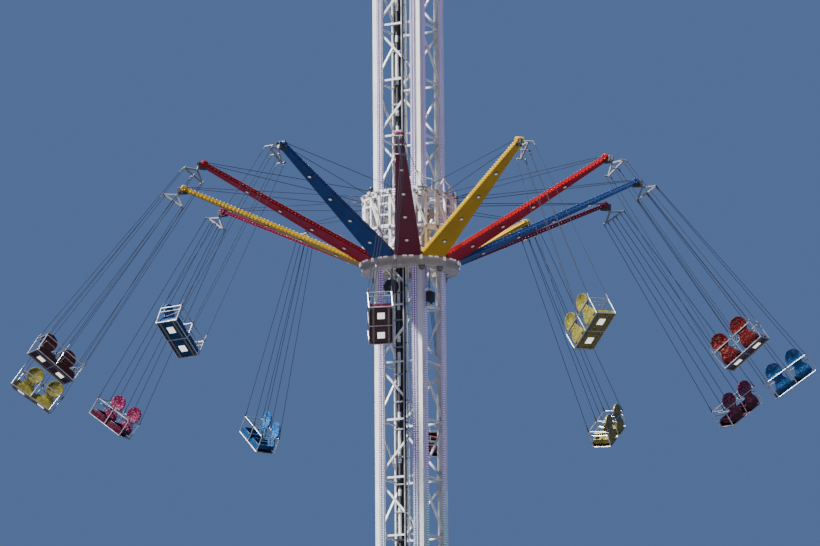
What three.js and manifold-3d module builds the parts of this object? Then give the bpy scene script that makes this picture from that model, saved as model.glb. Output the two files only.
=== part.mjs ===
// A chair swing ride: a square lattice tower, a carriage that is winched up and down it, a turntable
// with twelve rising arms that turns on the carriage, and a two-seat gondola hung from each arm's tip.
// Millimetres, +Z up. The origin is the middle of the base frame's underside.
import * as THREE from 'three';
import { mergeVertices } from 'three/addons/utils/BufferGeometryUtils.js';
import Module from 'manifold-3d';

const wasm = await Module();
wasm.setup();

// What keeps touching pieces apart.
const GAP = 0.3;

// Tower: its faces look along X and Y.
const TOWER_HALF = 660;
const LEG = 115;
const BAY = 1425;
const BAYS = 25;
const BASE_TOP = 430;
const TOWER_TOP = BASE_TOP + BAY * BAYS;
const BRACE = 46;
const BRACE_PLANE = TOWER_HALF - LEG / 2;
const LAMP_STRIP = { width: 160, thickness: 15 };
const SECTION_BAYS = [0, 8, 17, 25];

// Base frame: two crossing beams, a square kerb under the legs and four raking struts.
const CROSS_BEAM = { reach: 2600, width: 280, height: 250 };
const ANCHOR_PLATE = { size: 560, thickness: 40 };
const STRUT = { foot: 2150, footPlate: 360, plate: 30, top: 1950, size: 110 };

// Hoist rope: one loop over the head sheave and round the winch drum.
const ROPE = { x: 215, size: 28, outerY: -715, radius: 300, low: 900, high: TOWER_TOP + 545, arcs: 12 };
const SHEAVE_Y = ROPE.outerY + ROPE.radius;
const SHEAVE_R = (ROPE.radius - ROPE.size / 2) * Math.cos(Math.PI / 2 / ROPE.arcs) - GAP;

// Cable tray and conductor rails on the tower's -Y face.
const TRAY = { left: -170, right: 60, back: -450, thickness: 10, low: 1330 };
const PIPE = { x: -55, y: -510, radius: 38 };
const RAIL = { inner: 150, outer: 255, width: 25, front: -690, back: -665 };
const CLIP_EVERY = 4;

// Head frame.
const HEAD = {
  beam: 160, height: 120, post: 100, roofAt: 1000, roof: 40, roofHalf: 700, mast: 320, mastR: 35,
};

// Carriage: a slewing base with a bearing on it and a frame of rollers round the tower.
const RING_Z = 20000;
const BEARING = { inner: 1105, outer: 1195, height: 80 };
const SLEW_PLATE = { outer: 1220, thickness: 60, face: 735, corner: 975 };
const DRIVES = { angles: [-48, -23, 69, 167], reach: 1140, radius: 75, length: 100 };
const FRAME_TOP = 21860;
const POST = { inner: 565, outer: 645, near: 785, far: 845 };
const HOOP = { height: 60, levels: [20620, 21210, FRAME_TOP - 60] };
const ROLLER = { radius: 58, levels: [20180, 21660], sides: 8, fork: 30 };
const CLAMP = { half: 34, slot: 20, near: 705, z: 20650, height: 160 };

// Turntable and cage, both turning with the arms.
const TURNTABLE = { inner: 1090, outer: 1240, height: 80 };
const CAGE = { reach: 1135, depth: 90, drum: 200, top: 21760, rim: 160, middle: 20800, hoop: 60 };
const CAGE_POST = { size: 80, spread: 160 };

// Arms. FRONT_ARM is the direction of the first one.
const ARMS = 12;
const STEP = (2 * Math.PI) / ARMS;
const FRONT_ARM = THREE.MathUtils.degToRad(-65);
const ARM = {
  tip: 5640, tipZ: 22080, tipHalf: 50, rootHeight: 120, rootWidth: 620, shoulderWidth: 650, tipWidth: 170,
};
const ARM_ROOT = CAGE.reach + CAGE.depth / 2 + GAP;
const KNOB = { x: 5625, z: 22085, radius: 80, half: 100 };
// The two stays of an arm end at different depths below the cage's top, so neighbouring ones pass clear.
const STAY = { size: 20, tipY: 60, angle: THREE.MathUtils.degToRad(20), leftDrop: 40, rightDrop: 120 };

// Gondola suspension. The chairs trail a little behind the arms and are flung outwards.
const PIVOT = { reach: 5740, z: 22000, pin: 22, bore: 23, eye: 48, eyeHalf: 38 };
const CLEVIS = { inner: 40, outer: 65, back: 5540, end: 5792, low: -52, high: 120 };
const TRAIL = THREE.MathUtils.degToRad(4.7);
const SWING = THREE.MathUtils.degToRad(36);
const SPREADER = { apex: -75, base: -265, half: 285, bar: 50, cross: 130 };
const HANG_ROPE = { radius: 11, topY: 115 };

// Gondola: the frame of tubes, drawn square below the pin, then tipped back and turned about its middle.
const TUBE = 40;
const CHAIR = { half: 604, depth: 285, top: -5850, bottom: -6350, narrow: 0.98 };
const LEAN = { middle: -6100, back: THREE.MathUtils.degToRad(8), turn: THREE.MathUtils.degToRad(6) };
const CROSS_TUBES = [-6350, -6010, -5890];
const SEAT = { x: 300, half: 205, front: 240, back: -262, thickness: 40, floor: -6240, wall: 25, rim: -6140 };
const SEAT_BACK = { discZ: -5750, discR: 212, waistZ: -5975, waist: 125, flareZ: -6110, flare: 200 };
const SEAT_BOX = { half: 125, low: -6315 };

const paint = (color, roughness = 0.45, metalness = 0.1) =>
  new THREE.MeshStandardMaterial({ color, roughness, metalness });

const MATERIALS = {
  white: paint(0xe1e1e1),
  ringGrey: paint(0x7d7873, 0.55),
  darkSteel: paint(0x2b2b2e, 0.5, 0.4),
  galvanised: paint(0x9a9c9c, 0.5, 0.7),
  rope: paint(0x26282c, 0.6, 0.5),
};
const COLOURS = [paint(0xbe145a), paint(0xf0dc3c), paint(0xb41414), paint(0x1e5aa0)];

// A closed mesh that shares its vertices, which is what the booleans need. It is made before a shape is
// turned or moved, while its seams still meet exactly.
function closed(geometry) {
  const bare = geometry.index ? geometry.toNonIndexed() : geometry;
  bare.deleteAttribute('normal');
  bare.deleteAttribute('uv');
  return mergeVertices(bare, 1e-3);
}

function toSolid(geometry) {
  return new wasm.Manifold(new wasm.Mesh({
    numProp: 3,
    vertProperties: new Float32Array(geometry.attributes.position.array),
    triVerts: new Uint32Array(geometry.index.array),
  }));
}

function toGeometry(solid) {
  const mesh = solid.getMesh();
  const twin = new Map(Array.from(mesh.mergeFromVert, (vertex, i) => [vertex, mesh.mergeToVert[i]]));
  const corners = Array.from(mesh.triVerts, (vertex) => twin.get(vertex) ?? vertex);
  const geometry = new THREE.BufferGeometry();
  geometry.setAttribute('position', new THREE.BufferAttribute(new Float32Array(mesh.vertProperties), 3));
  geometry.setIndex(corners);
  return geometry;
}

function fuse(...geometries) {
  return toGeometry(geometries.flat().map(toSolid).reduce((whole, piece) => whole.add(piece)));
}

function cut(geometry, ...holes) {
  const solids = holes.flat().map(toSolid);
  return toGeometry(solids.reduce((whole, hole) => whole.subtract(hole), toSolid(geometry)));
}

// Shapes.
function box(x0, x1, y0, y1, z0, z1) {
  const geometry = closed(new THREE.BoxGeometry(x1 - x0, y1 - y0, z1 - z0));
  return geometry.translate((x0 + x1) / 2, (y0 + y1) / 2, (z0 + z1) / 2);
}

// A straight square bar from a to b. Two of its sides face the direction given.
function bar(a, b, size, facing = new THREE.Vector3(0, 1, 0), depth = size) {
  const along = new THREE.Vector3().subVectors(b, a);
  const length = along.length();
  along.normalize();
  const side = new THREE.Vector3().crossVectors(along, facing).normalize();
  const out = new THREE.Vector3().crossVectors(side, along);
  const geometry = closed(new THREE.BoxGeometry(size, length, depth));
  geometry.applyMatrix4(new THREE.Matrix4().makeBasis(side, along, out));
  const middle = new THREE.Vector3().addVectors(a, b).multiplyScalar(0.5);
  return geometry.translate(middle.x, middle.y, middle.z);
}

// A round bar from a to b, with flats on its quarters.
function rod(a, b, radius, sides = 12) {
  const along = new THREE.Vector3().subVectors(b, a);
  const geometry = closed(new THREE.CylinderGeometry(radius, radius, along.length(), sides));
  geometry.rotateY(Math.PI / sides);
  const turn = new THREE.Quaternion().setFromUnitVectors(new THREE.Vector3(0, 1, 0), along.normalize());
  geometry.applyQuaternion(turn);
  const middle = new THREE.Vector3().addVectors(a, b).multiplyScalar(0.5);
  return geometry.translate(middle.x, middle.y, middle.z);
}

function polygon(points) {
  return new THREE.Shape(points.map(([x, y]) => new THREE.Vector2(x, y)));
}

function regular(radius, sides, turn = 0) {
  return Array.from({ length: sides }, (_, i) => {
    const angle = turn + (2 * Math.PI * i) / sides;
    return [radius * Math.cos(angle), radius * Math.sin(angle)];
  });
}

// A flat outline in X and Y with holes, standing from z0 to z1.
function plate(outline, holes, z0, z1) {
  const shape = polygon(outline);
  holes.forEach((hole) => shape.holes.push(polygon(hole)));
  const solid = closed(new THREE.ExtrudeGeometry(shape, { depth: z1 - z0, bevelEnabled: false }));
  return solid.translate(0, 0, z0);
}

// A flat outline in X and Z, standing from y0 to y1.
function upright(outline, holes, y0, y1) {
  return plate(outline, holes, -y1, -y0).rotateX(Math.PI / 2);
}

// A flat outline in Y and Z, standing from x0 to x1.
function sideways(outline, holes, x0, x1) {
  return plate(outline, holes, x0, x1).applyMatrix4(new THREE.Matrix4().set(
    0, 0, 1, 0,
    1, 0, 0, 0,
    0, 1, 0, 0,
    0, 0, 0, 1,
  ));
}

const rectangle = (x0, x1, y0, y1) => [[x0, y0], [x1, y0], [x1, y1], [x0, y1]];
const octagon = (face, corner) => {
  const short = corner * Math.SQRT2 - face;
  const quarter = [[face, -short], [face, short], [short, face], [-short, face]];
  return [...quarter, ...quarter.map(([x, y]) => [-x, -y])];
};
const vec = (x, y, z) => new THREE.Vector3(x, y, z);
const turned = (geometry, angle) => geometry.clone().rotateZ(angle);
const onEachFace = (geometry) => [0, 1, 2, 3].map((quarter) => turned(geometry, (quarter * Math.PI) / 2));

function annulus(inner, outer, z0, z1, sides = 36) {
  return plate(regular(outer, sides), [regular(inner, sides)], z0, z1);
}

function mesh(name, geometry, material) {
  const made = new THREE.Mesh(geometry, material);
  made.name = name;
  return made;
}

// Tower.
const bayFloor = (bay) => BASE_TOP + BAY * bay;

function faceBracing(bay) {
  const z = bayFloor(bay);
  const side = bay % 2 ? -1 : 1;
  const inside = BRACE_PLANE - LEG / 4;
  const level = z + BRACE / 2;
  return [
    bar(vec(-BRACE_PLANE, -BRACE_PLANE, level), vec(BRACE_PLANE, -BRACE_PLANE, level), BRACE),
    bar(
      vec(-side * inside, -BRACE_PLANE, z + 1.5 * BRACE),
      vec(side * inside, -BRACE_PLANE, z + BAY - BRACE),
      BRACE,
    ),
  ];
}

function lampStrips(z0, z1) {
  const leg = TOWER_HALF - LEG;
  const front = -TOWER_HALF + LAMP_STRIP.thickness;
  return [-leg, leg - LAMP_STRIP.width].map(
    (x) => box(x, x + LAMP_STRIP.width, -TOWER_HALF, front, z0, z1),
  );
}

function towerSection(first, last) {
  const z0 = bayFloor(first) + (first ? 0 : GAP);
  const z1 = bayFloor(last) - GAP;
  const leg = box(-TOWER_HALF, -TOWER_HALF + LEG, -TOWER_HALF, -TOWER_HALF + LEG, z0, z1);
  const pieces = [leg, ...lampStrips(z0, z1)];
  for (let bay = first; bay < last; bay += 1) pieces.push(...faceBracing(bay));
  return fuse(pieces.flatMap(onEachFace));
}

// Four raking struts. Each stands on a plate on a cross beam and ends flat against a leg.
function struts() {
  const seat = CROSS_BEAM.height;
  const half = STRUT.footPlate / 2;
  const middle = BRACE_PLANE * Math.SQRT2;
  const foot = box(STRUT.foot - half, STRUT.foot + half, -half / 2, half / 2, seat, seat + STRUT.plate);
  const rake = bar(vec(STRUT.foot, 0, seat + STRUT.size / 2), vec(middle, 0, STRUT.top), STRUT.size);
  const near = TOWER_HALF - LEG - GAP;
  const far = TOWER_HALF + GAP;
  const leg = turned(box(near, far, near, far, 0, 2 * STRUT.top), -Math.PI / 4);
  const under = box(0, 2 * STRUT.foot, -half, half, 0, seat + STRUT.plate / 2);
  const trimmed = cut(rake, under, leg, box(0, middle, -half, half, 0, 2 * STRUT.top));
  return onEachFace(fuse(foot, trimmed).rotateZ(Math.PI / 4));
}

function baseFrame() {
  const { reach, width, height } = CROSS_BEAM;
  const beam = box(-reach, reach, -width / 2, width / 2, 0, height);
  const plateHalf = ANCHOR_PLATE.size / 2;
  const anchor = box(reach - ANCHOR_PLATE.size, reach, -plateHalf, plateHalf, 0, ANCHOR_PLATE.thickness);
  const arm = fuse(beam, anchor, turned(anchor, Math.PI)).rotateZ(Math.PI / 4);
  const inner = TOWER_HALF - HEAD.beam;
  const kerb = plate(
    rectangle(-TOWER_HALF, TOWER_HALF, -TOWER_HALF, TOWER_HALF),
    [rectangle(-inner, inner, -inner, inner)],
    height,
    BASE_TOP,
  );
  return fuse(arm, turned(arm, Math.PI / 2), kerb, struts());
}

function winch() {
  const floor = CROSS_BEAM.height + GAP;
  const bed = floor + 40;
  const inner = TOWER_HALF - HEAD.beam - 10;
  const near = SHEAVE_Y - 65;
  const far = SHEAVE_Y + 65;
  const drum = rod(vec(60, SHEAVE_Y, ROPE.low), vec(370, SHEAVE_Y, ROPE.low), SHEAVE_R, 24);
  const shaft = rod(vec(-60, SHEAVE_Y, ROPE.low), vec(430, SHEAVE_Y, ROPE.low), 45, 8);
  const motor = rod(vec(-460, SHEAVE_Y, ROPE.low), vec(-100, SHEAVE_Y, ROPE.low), 120, 12);
  return fuse(
    box(-inner, inner, -inner, 200, floor, bed),
    box(390, 450, near, far, bed, ROPE.low + 70),
    box(-110, -30, near, far, bed, ROPE.low + 160),
    box(-400, -200, near, far, bed, ROPE.low),
    drum, shaft, motor,
  );
}

// The rope loop, drawn in Y and Z as a stadium with its middle cut out.
function hoistRope() {
  const loop = (radius) => {
    const arc = (centre, start) => Array.from({ length: ROPE.arcs + 1 }, (_, i) => {
      const angle = start + (Math.PI * i) / ROPE.arcs;
      return [SHEAVE_Y + radius * Math.cos(angle), centre + radius * Math.sin(angle)];
    });
    return [...arc(ROPE.high, 0), ...arc(ROPE.low, Math.PI)];
  };
  const half = ROPE.size / 2;
  return sideways(loop(ROPE.radius + half), [loop(ROPE.radius - half)], ROPE.x - half, ROPE.x + half);
}

function towerHead() {
  const floor = TOWER_TOP;
  const deck = floor + HEAD.height;
  const roof = floor + HEAD.roofAt;
  const inner = TOWER_HALF - HEAD.beam;
  const half = HEAD.roofHalf;
  const post = box(-TOWER_HALF, HEAD.post - TOWER_HALF, -TOWER_HALF, HEAD.post - TOWER_HALF, floor, roof);
  const bearing = (x0, x1) => [
    box(x0, x1, -TOWER_HALF, TOWER_HALF, floor, deck),
    box(x0, x1, SHEAVE_Y - 80, SHEAVE_Y + 80, deck - 1, ROPE.high + 70),
  ];
  return fuse(
    plate(
      rectangle(-TOWER_HALF, TOWER_HALF, -TOWER_HALF, TOWER_HALF),
      [rectangle(-inner, inner, -inner, inner)],
      floor,
      deck,
    ),
    onEachFace(post),
    bearing(90, 150),
    bearing(280, 340),
    rod(vec(90, SHEAVE_Y, ROPE.high), vec(340, SHEAVE_Y, ROPE.high), 40, 8),
    rod(vec(190, SHEAVE_Y, ROPE.high), vec(240, SHEAVE_Y, ROPE.high), SHEAVE_R, 24),
    box(-half, half, -half, half, roof, roof + HEAD.roof),
    rod(vec(0, 0, roof), vec(0, 0, roof + HEAD.mast), HEAD.mastR, 8),
  );
}

// Clips on every fourth floor's brace carry the tray inside the face and the rails outside it.
function clipLevels() {
  const levels = [];
  for (let bay = 1; bay < BAYS; bay += CLIP_EVERY) levels.push(bayFloor(bay) + 10);
  return levels;
}

function cableTray() {
  const back = -BRACE_PLANE + BRACE / 2 + GAP;
  const top = TOWER_TOP - 60;
  const tray = box(TRAY.left, TRAY.right, TRAY.back - TRAY.thickness, TRAY.back, TRAY.low, top);
  const pipe = rod(vec(PIPE.x, PIPE.y, TRAY.low), vec(PIPE.x, PIPE.y, top), PIPE.radius, 6);
  const clips = clipLevels().map((z) => box(TRAY.left + 20, 0, back, TRAY.back - 5, z, z + 40));
  return fuse(tray, pipe, clips);
}

function powerRail() {
  const front = -BRACE_PLANE - BRACE / 2 - GAP;
  const z0 = BASE_TOP + 800;
  const rails = [RAIL.inner, RAIL.outer].map(
    (x) => box(x, x + RAIL.width, RAIL.front, RAIL.back, z0, TOWER_TOP - 60),
  );
  const right = RAIL.outer + RAIL.width;
  const clips = clipLevels().map((z) => box(RAIL.inner, right, RAIL.back - 2, front, z, z + 40));
  return fuse(rails, clips);
}

// Carriage.
function slewingBase() {
  const top = RING_Z - BEARING.height;
  const floor = top - SLEW_PLATE.thickness;
  const opening = octagon(SLEW_PLATE.face, SLEW_PLATE.corner);
  const base = plate(regular(SLEW_PLATE.outer, 24), [opening], floor, top);
  const bearing = annulus(BEARING.inner, BEARING.outer, top, RING_Z - GAP, 24);
  const drives = DRIVES.angles.map((degrees) => {
    const body = rod(
      vec(DRIVES.reach, 0, floor - DRIVES.length), vec(DRIVES.reach, 0, floor + 10), DRIVES.radius, 8,
    );
    return turned(body, THREE.MathUtils.degToRad(degrees));
  });
  return fuse(base, bearing, drives);
}

// A roller against the tower's leg with the fork behind it, in Y and Z.
function rollerOutline(z) {
  const reach = ROLLER.radius * Math.cos(Math.PI / ROLLER.sides);
  const middle = -(TOWER_HALF + GAP + reach);
  const nose = regular(ROLLER.radius, ROLLER.sides, Math.PI / ROLLER.sides)
    .filter(([x]) => x > 0)
    .map(([x, y]) => [middle + x, z + y])
    .sort((a, b) => a[1] - b[1]);
  const { fork } = ROLLER;
  const back = -POST.near - 5;
  return [[back, z - fork], [middle, z - fork], ...nose, [middle, z + fork], [back, z + fork]];
}

function carriageFrame() {
  const foot = RING_Z - BEARING.height + GAP;
  const hoops = HOOP.levels.map((z) => plate(
    octagon(POST.far, (POST.far + POST.outer) / Math.SQRT2),
    [octagon(POST.near, (POST.far + POST.outer) / Math.SQRT2 - HOOP.height)],
    z,
    z + HOOP.height,
  ));
  const face = [-1, 1].flatMap((side) => {
    const [x0, x1] = side < 0 ? [-POST.outer, -POST.inner] : [POST.inner, POST.outer];
    const rollers = ROLLER.levels.map((z) => sideways(rollerOutline(z), [], x0, x1));
    return [box(x0, x1, -POST.far, -POST.near, foot, FRAME_TOP), ...rollers];
  });
  const clampBlock = box(
    ROPE.x - CLAMP.half, ROPE.x + CLAMP.half, -POST.near - 10, -CLAMP.near, CLAMP.z - CLAMP.height / 2,
    CLAMP.z + CLAMP.height / 2,
  );
  const { slot: half, z } = CLAMP;
  const slot = box(ROPE.x - half, ROPE.x + half, -POST.near + 45, 0, z - 200, z + 200);
  return fuse(hoops, face.flatMap(onEachFace), cut(clampBlock, slot));
}

// Turntable and cage.
function cageRing(z0, z1, depth = CAGE.depth) {
  const flat = Math.cos(STEP / 2);
  const outline = (reach) => regular(reach / flat, ARMS, STEP / 2);
  return plate(outline(CAGE.reach + depth / 2), [outline(CAGE.reach - depth / 2)], z0, z1);
}

function turntable() {
  return annulus(TURNTABLE.inner, TURNTABLE.outer, RING_Z, RING_Z + TURNTABLE.height);
}

function rotorCage() {
  const floor = RING_Z + TURNTABLE.height + GAP;
  const half = CAGE_POST.size / 2;
  const { spread } = CAGE_POST;
  const post = (y) => box(
    CAGE.reach - half, CAGE.reach + half, y - half, y + half, floor + CAGE.drum - 1, CAGE.top - CAGE.rim + 1,
  );
  const panels = Array.from({ length: ARMS }, (_, i) => [
    turned(post(-spread), i * STEP), turned(post(spread), i * STEP),
  ]);
  return fuse(
    cageRing(floor, floor + CAGE.drum),
    cageRing(CAGE.middle, CAGE.middle + CAGE.hoop, CAGE_POST.size),
    cageRing(CAGE.top - CAGE.rim, CAGE.top),
    panels.flat(),
  ).rotateZ(FRONT_ARM);
}

// Arms. The beam widens to a shoulder at the turntable's edge and then tapers towards its tip.
function armWidth(x) {
  return x < TURNTABLE.outer
    ? THREE.MathUtils.mapLinear(x, ARM_ROOT, TURNTABLE.outer, ARM.rootWidth, ARM.shoulderWidth)
    : THREE.MathUtils.mapLinear(x, TURNTABLE.outer, ARM.tip, ARM.shoulderWidth, ARM.tipWidth);
}

function armBeam() {
  const seat = RING_Z + TURNTABLE.height + GAP;
  const rootTop = seat + ARM.rootHeight;
  const profile = [
    [ARM_ROOT, seat], [TURNTABLE.outer, seat], [ARM.tip, ARM.tipZ - ARM.tipHalf],
    [ARM.tip, ARM.tipZ + ARM.tipHalf], [TURNTABLE.outer, rootTop], [ARM_ROOT, rootTop],
  ];
  const beam = upright(profile, [], -1, 1);
  const place = beam.attributes.position;
  for (let i = 0; i < place.count; i += 1) {
    place.setY(i, (Math.sign(place.getY(i)) * armWidth(place.getX(i))) / 2);
  }
  return beam;
}

// Two cheeks and the pin, square to the way the chair hangs.
function clevis() {
  const { reach, z, pin } = PIVOT;
  const { back, end, low, high } = CLEVIS;
  const cheek = (y0, y1) => box(back - reach, end - reach, y0, y1, low, high);
  const fork = fuse(
    cheek(CLEVIS.inner, CLEVIS.outer),
    cheek(-CLEVIS.outer, -CLEVIS.inner),
    rod(vec(0, -CLEVIS.outer, 0), vec(0, CLEVIS.outer, 0), pin, 16),
  );
  return fork.rotateZ(-TRAIL).translate(reach, 0, z);
}

// A stay from the arm's tip to the cage's top rim. It ends flat against the rim's next side.
function stay(side) {
  const flat = CAGE.reach + CAGE.depth / 2 + GAP;
  const reach = (flat - CAGE.depth) / Math.cos(STEP - STAY.angle);
  const drop = side > 0 ? STAY.leftDrop : STAY.rightDrop;
  const angle = side * STAY.angle;
  const rim = vec(reach * Math.cos(angle), reach * Math.sin(angle), CAGE.top - drop);
  const tip = vec(ARM.tip - 40, side * STAY.tipY, ARM.tipZ + ARM.tipHalf - 10);
  const inside = turned(box(0, flat, -ARM.rootWidth, ARM.rootWidth, 0, FRAME_TOP), side * STEP);
  return cut(bar(tip, rim, STAY.size, vec(0, 0, 1)), inside);
}

function knob() {
  return rod(vec(KNOB.x, -KNOB.half, KNOB.z), vec(KNOB.x, KNOB.half, KNOB.z), KNOB.radius, 12);
}

const armGeometry = fuse(armBeam(), knob(), clevis(), stay(-1), stay(1));

// A piece of the chair, tipped back and turned about the frame's middle.
function leaned(geometry) {
  const centred = geometry.translate(0, 0, -LEAN.middle);
  return centred.rotateX(LEAN.back).rotateZ(LEAN.turn).translate(0, 0, LEAN.middle);
}

// Spreader and ropes, hanging straight down from the pin at the origin.
function spreader() {
  const { apex, base, half, bar: size, cross } = SPREADER;
  const eye = cut(
    rod(vec(0, -PIVOT.eyeHalf, 0), vec(0, PIVOT.eyeHalf, 0), PIVOT.eye, 8),
    rod(vec(0, -PIVOT.eye, 0), vec(0, PIVOT.eye, 0), PIVOT.bore, 16),
  );
  const neck = 8 - PIVOT.eye;
  const shoulder = base + size / 4;
  const outline = [
    [-size / 2, neck], [-size / 2, apex], [-half - size / 2, shoulder], [-half - size / 2, base - size / 2],
    [half + size / 2, base - size / 2], [half + size / 2, shoulder], [size / 2, apex], [size / 2, neck],
  ];
  const window = [[0, apex - size], [-half + size, base + size / 2], [half - size, base + size / 2]];
  const crossPieces = [-half, 0, half].map(
    (x) => box(x - size / 2, x + size / 2, -cross, cross, base - size / 2, base + size / 2),
  );
  return [eye, upright(outline, [window], -size / 2, size / 2), ...crossPieces];
}

// Ropes to the frame's six upper joints, cut off flat over its top tubes.
function hangRopes() {
  const corners = [-1, 0, 1].flatMap((column) => [[column, -1], [column, 1]]);
  const floor = CHAIR.top + GAP;
  const trim = box(-CHAIR.half, CHAIR.half, -CHAIR.depth, CHAIR.depth, floor - 200, floor);
  const reach = CHAIR.half - TUBE / 2;
  const depth = CHAIR.depth - TUBE / 2;
  const joints = corners.map(([column, row]) => vec(column * reach, row * depth, floor - TUBE / 2));
  const places = leaned(new THREE.BufferGeometry().setFromPoints(joints)).attributes.position;
  const ropes = corners.map(([column, row], i) => rod(
    vec(column * SPREADER.half, row * HANG_ROPE.topY, SPREADER.base),
    vec(places.getX(i), places.getY(i), places.getZ(i)),
    HANG_ROPE.radius,
    3,
  ));
  return cut(fuse(ropes), leaned(trim));
}

const hangerGeometry = fuse(spreader(), hangRopes());

// Gondola frame: two ladder-like ends, a middle frame and the long tubes, a little narrower at the bottom.
function chairFrame() {
  const { half, depth, top, bottom } = CHAIR;
  const outline = rectangle(-depth, depth, bottom, top);
  const window = (z0, z1) => rectangle(-depth + TUBE, depth - TUBE, z0, z1);
  const windows = CROSS_TUBES.slice(1).map((z, i) => window(CROSS_TUBES[i] + TUBE, z));
  const longTube = (y, z, reach) => box(-reach, reach, y, y + TUBE, z, z + TUBE);
  const inner = half - TUBE / 2;
  const frame = fuse(
    sideways(outline, windows, half - TUBE, half),
    sideways(outline, windows, -half, TUBE - half),
    sideways(outline, [window(bottom + TUBE, top - TUBE)], -TUBE / 2, TUBE / 2),
    longTube(-depth, bottom, inner),
    longTube(depth - TUBE, bottom, inner),
    longTube(-depth, top - TUBE, inner),
    longTube(depth - TUBE, top - TUBE, inner),
  );
  const place = frame.attributes.position;
  for (let i = 0; i < place.count; i += 1) {
    const share = (top - place.getZ(i)) / (top - bottom);
    place.setX(i, place.getX(i) * THREE.MathUtils.lerp(1, CHAIR.narrow, share));
  }
  return frame;
}

function seatBackOutline() {
  const { discZ, discR, waistZ, waist, flareZ, flare } = SEAT_BACK;
  const start = THREE.MathUtils.degToRad(-50);
  const end = Math.PI - start;
  const steps = 6;
  const disc = Array.from({ length: steps + 1 }, (_, i) => {
    const angle = start + ((end - start) * i) / steps;
    return [discR * Math.cos(angle), discZ + discR * Math.sin(angle)];
  });
  return [[flare, SEAT.floor], [flare, flareZ], [waist, waistZ], ...disc, [-waist, waistZ], [-flare, flareZ],
    [-flare, SEAT.floor]];
}

function seat(x) {
  const { half, front, back, thickness, floor, wall, rim } = SEAT;
  const inner = half - wall;
  const under = floor - wall;
  const pan = [
    [-SEAT_BOX.half, SEAT_BOX.low], [SEAT_BOX.half, SEAT_BOX.low], [SEAT_BOX.half, under], [half, under],
    [half, rim], [inner, rim], [inner, floor], [-inner, floor], [-inner, rim], [-half, rim], [-half, under],
    [-SEAT_BOX.half, under],
  ];
  const pieces = [
    upright(seatBackOutline(), [], back, back + thickness),
    upright(pan, [], back, front),
  ];
  return pieces.map((piece) => piece.translate(x, 0, 0));
}

const gondolaGeometry = leaned(fuse(chairFrame(), seat(-SEAT.x), seat(SEAT.x)));

const ride = new THREE.Group();

ride.add(
  mesh('base_frame', baseFrame(), MATERIALS.galvanised),
  mesh('winch', winch(), MATERIALS.darkSteel),
  mesh('tower_lower', towerSection(SECTION_BAYS[0], SECTION_BAYS[1]), MATERIALS.white),
  mesh('tower_middle', towerSection(SECTION_BAYS[1], SECTION_BAYS[2]), MATERIALS.white),
  mesh('tower_upper', towerSection(SECTION_BAYS[2], SECTION_BAYS[3]), MATERIALS.white),
  mesh('tower_head', towerHead(), MATERIALS.white),
  mesh('hoist_rope', hoistRope(), MATERIALS.rope),
  mesh('cable_tray', cableTray(), MATERIALS.darkSteel),
  mesh('power_rail', powerRail(), MATERIALS.galvanised),
  mesh('slewing_base', slewingBase(), MATERIALS.ringGrey),
  mesh('carriage_frame', carriageFrame(), MATERIALS.white),
  mesh('turntable', turntable(), MATERIALS.ringGrey),
  mesh('rotor_cage', rotorCage(), MATERIALS.white),
);

for (let i = 0; i < ARMS; i += 1) {
  const number = String(i + 1).padStart(2, '0');
  const colour = COLOURS[i % COLOURS.length];
  const spoke = new THREE.Group();
  spoke.rotation.z = FRONT_ARM + i * STEP;
  spoke.add(mesh(`arm_${number}`, armGeometry, colour));
  const hung = new THREE.Group();
  hung.position.set(PIVOT.reach, 0, PIVOT.z);
  hung.rotation.set(0, -SWING, -TRAIL, 'ZYX');
  hung.add(mesh(`hanger_${number}`, hangerGeometry, MATERIALS.rope));
  hung.add(mesh(`gondola_${number}`, gondolaGeometry, colour));
  spoke.add(hung);
  ride.add(spoke);
}

export default ride;
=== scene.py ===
"""A chair swing ride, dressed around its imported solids: tower, carriage, star of arms and gondolas."""
import math

import bpy
from bpy.props import FloatProperty, FloatVectorProperty, IntProperty, PointerProperty
from bpy.types import Operator, Panel, PropertyGroup
from mathutils import Matrix, Vector


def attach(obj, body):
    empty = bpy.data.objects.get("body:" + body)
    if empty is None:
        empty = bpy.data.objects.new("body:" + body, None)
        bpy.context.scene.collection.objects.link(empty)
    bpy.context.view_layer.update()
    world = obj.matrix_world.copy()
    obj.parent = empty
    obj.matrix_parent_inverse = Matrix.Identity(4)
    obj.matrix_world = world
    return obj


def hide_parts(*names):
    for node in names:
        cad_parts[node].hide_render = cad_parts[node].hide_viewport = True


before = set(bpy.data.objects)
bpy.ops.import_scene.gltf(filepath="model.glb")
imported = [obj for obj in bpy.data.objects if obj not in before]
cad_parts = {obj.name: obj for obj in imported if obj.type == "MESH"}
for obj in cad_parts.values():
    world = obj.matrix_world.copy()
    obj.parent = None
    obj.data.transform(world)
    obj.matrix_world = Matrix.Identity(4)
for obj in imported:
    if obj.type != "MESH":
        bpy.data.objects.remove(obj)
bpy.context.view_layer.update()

bl_info = {
    "name": "Chair Swing Ride",
    "version": (1, 0, 0),
    "blender": (4, 5, 0),
    "location": "View3D > Sidebar > Swing Ride",
    "description": "Builds the visible pieces of a chair swing ride around its solids",
    "category": "Add Mesh",
}

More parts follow.
